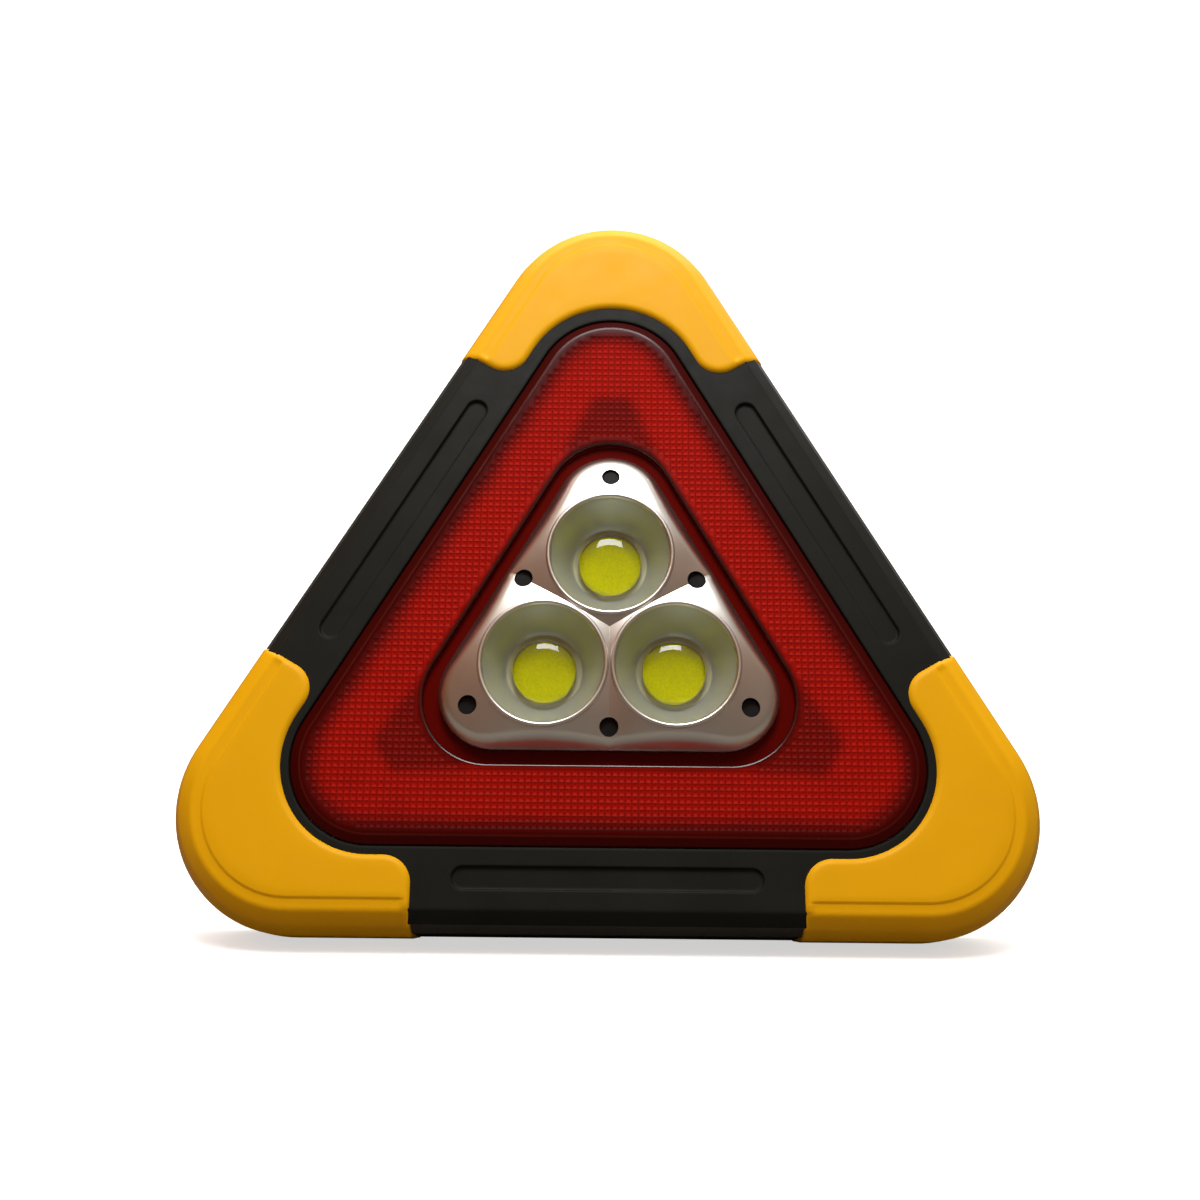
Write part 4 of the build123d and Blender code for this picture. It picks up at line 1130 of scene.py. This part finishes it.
def rubber_button():
    """Round button with a groove in its top, above the flange that holds it in the case."""
    steps = [(2.0, -31.0), (2.0, -32.7), (8.6, -32.7), (8.6, -34.2), (7.0, -34.2), (7.0, -37.8)]
    steps += [(6.85, -38.15), (6.5, -38.35), (6.1, -38.4), (5.3, -38.4), (5.05, -38.3), (4.95, -38.1)]
    steps += [(4.6, -38.1), (4.4, -38.25), (3.2, -38.15), (1.6, -38.08), (0.4, -38.06)]
    shape = Shape()
    rows = [shape.row(circle_at(0, BUTTON_Y, r, z, 64)) for r, z in steps]
    shape.bands(rows)
    shape.cap(rows[0])
    shape.cap(rows[-1])
    shape.build("power_button_rubber", BUTTON, "button", "button_rubber", "power_button", sharp=50)


rubber_button()


def soften(node, width):
    """Rounds the sharp edges of a CAD node, by a width in millimetres."""
    piece = frame["nodes"][node]
    weld = piece.modifiers.new("weld", "WELD")
    weld.merge_threshold = 0.000005
    edge = piece.modifiers.new("edges", "BEVEL")
    edge.width = width * MM
    edge.segments = 2
    edge.limit_method = "ANGLE"
    edge.angle_limit = radians(35)
    edge.use_clamp_overlap = True
    edge.harden_normals = True


EDGE_WIDTHS = {
    "back_shell": 0.35,
    "pivot_blocks": 0.4,
    "battery_cover": 0.3,
    "port_cover": 0.25,
    "stand_bracket": 0.7,
}
for node, width in EDGE_WIDTHS.items():
    soften(node, width)

# ================= camera, floor and light =================

CAMERA_LENS, CAMERA_SENSOR = 40.84, 36.0
CAMERA_ASIDE, CAMERA_DISTANCE, CAMERA_HEIGHT = -3.16, 438.4, 10.3  # from the lamp's middle, in millimetres
CAMERA_ROLL = -0.01


def camera():
    lens = bpy.data.cameras.new("camera")
    lens.lens = CAMERA_LENS
    lens.sensor_width = CAMERA_SENSOR
    lens.clip_end = 50.0
    eye = bpy.data.objects.new("camera", lens)
    eye.location = ORIGIN + Vector((CAMERA_ASIDE, -CAMERA_DISTANCE, CAMERA_HEIGHT)) * MM
    eye.rotation_euler = (pi / 2, CAMERA_ROLL, 0)
    bpy.context.scene.collection.objects.link(eye)
    bpy.context.scene.camera = eye


def floor():
    """Wide floor that curves up into the backdrop: pale to the camera, darker in all that it lights."""
    mesh = bpy.data.meshes.new("floor")
    half, front, bend, back, tall = 6.0, -3.0, 1.6, 1.2, 5.0
    profile = [(front, 0.0), (bend, 0.0)]
    profile += [(bend + back * sin(radians(a)), back * (1 - cos(radians(a)))) for a in range(10, 91, 10)]
    profile.append((bend + back, tall))
    points = [(x, y, z) for y, z in profile for x in (-half, half)]
    faces = [(2 * i, 2 * i + 1, 2 * i + 3, 2 * i + 2) for i in range(len(profile) - 1)]
    mesh.from_pydata(points, [], faces)
    mesh.shade_smooth()
    paint = Paint("floor", 0.9)
    paint.shader.inputs["Specular IOR Level"].default_value = 0.0
    seen = paint.node("ShaderNodeLightPath").outputs["Is Camera Ray"]
    pale = paint.mix(paint.remap(paint.noise(2.0), 0.0, 1.0), (0.80, 0.80, 0.79), (0.83, 0.83, 0.82))
    paint.color(paint.mix(seen, (0.19, 0.175, 0.155), pale))
    paint.shader.inputs["Emission Color"].default_value = (1.0, 1.0, 0.99, 1.0)
    paint.link(paint.math("MULTIPLY", seen, 0.6), paint.shader.inputs["Emission Strength"])
    mesh.materials.append(paint.material)
    ground = bpy.data.objects.new("floor", mesh)
    bpy.context.scene.collection.objects.link(ground)


def lamp_light(name, place, target, size, power):
    light = bpy.data.lights.new(name, "AREA")
    light.shape = "RECTANGLE"
    light.size, light.size_y = size
    light.energy = power
    holder = bpy.data.objects.new(name, light)
    holder.location = place
    holder.rotation_euler = (Vector(target) - Vector(place)).to_track_quat("-Z", "Y").to_euler()
    bpy.context.scene.collection.objects.link(holder)


def lights():
    lamp = (0, 0, 0.12)
    lamp_light("overhead", place=(0.0, -0.38, 0.79), target=lamp, size=(0.32, 0.34), power=5.2)
    lamp_light("backdrop", place=(0.0, 1.0, 2.2), target=(0, 2.4, 0.5), size=(3.0, 1.0), power=60.0)
    lamp_light("rear", place=(0.5, 1.0, 1.2), target=lamp, size=(1.6, 1.2), power=6.0)


def studio():
    """Surroundings: white to the camera; to all else dark below, light above and warmer on the left."""
    world = bpy.data.worlds.new("studio")
    sky = Nodes(world)
    axes = sky.node("ShaderNodeSeparateXYZ")
    sky.link(sky.node("ShaderNodeTexCoord").outputs["Generated"], axes.inputs["Vector"])
    ramp = sky.node("ShaderNodeValToRGB")
    bottom, top = ramp.color_ramp.elements
    bottom.position, bottom.color = 0.3, (0.06, 0.05, 0.04, 1)
    top.position, top.color = 0.95, (1.0, 1.0, 1.0, 1)
    for position, color in ((0.52, (0.20, 0.145, 0.115, 1)), (0.80, (0.36, 0.22, 0.15, 1))):
        ramp.color_ramp.elements.new(position).color = color
    sky.link(sky.remap(axes.outputs["Z"], 0.0, 1.0, -1.0, 1.0), ramp.inputs["Fac"])
    white = (1.0, 1.0, 1.0)
    tint = sky.mix(sky.remap(axes.outputs["X"], 0.0, 1.0, -1.0, 0.2), (0.92, 0.54, 0.36), white)
    warm = sky.mix(1.0, ramp.outputs["Color"], tint, blend="MULTIPLY")
    seen = sky.node("ShaderNodeLightPath").outputs["Is Camera Ray"]
    sky.link(sky.mix(seen, warm, white), sky.tree.nodes["Background"].inputs["Color"])
    bpy.context.scene.world = world
    bpy.context.scene.view_settings.view_transform = "Standard"


camera()
floor()
lights()
studio()
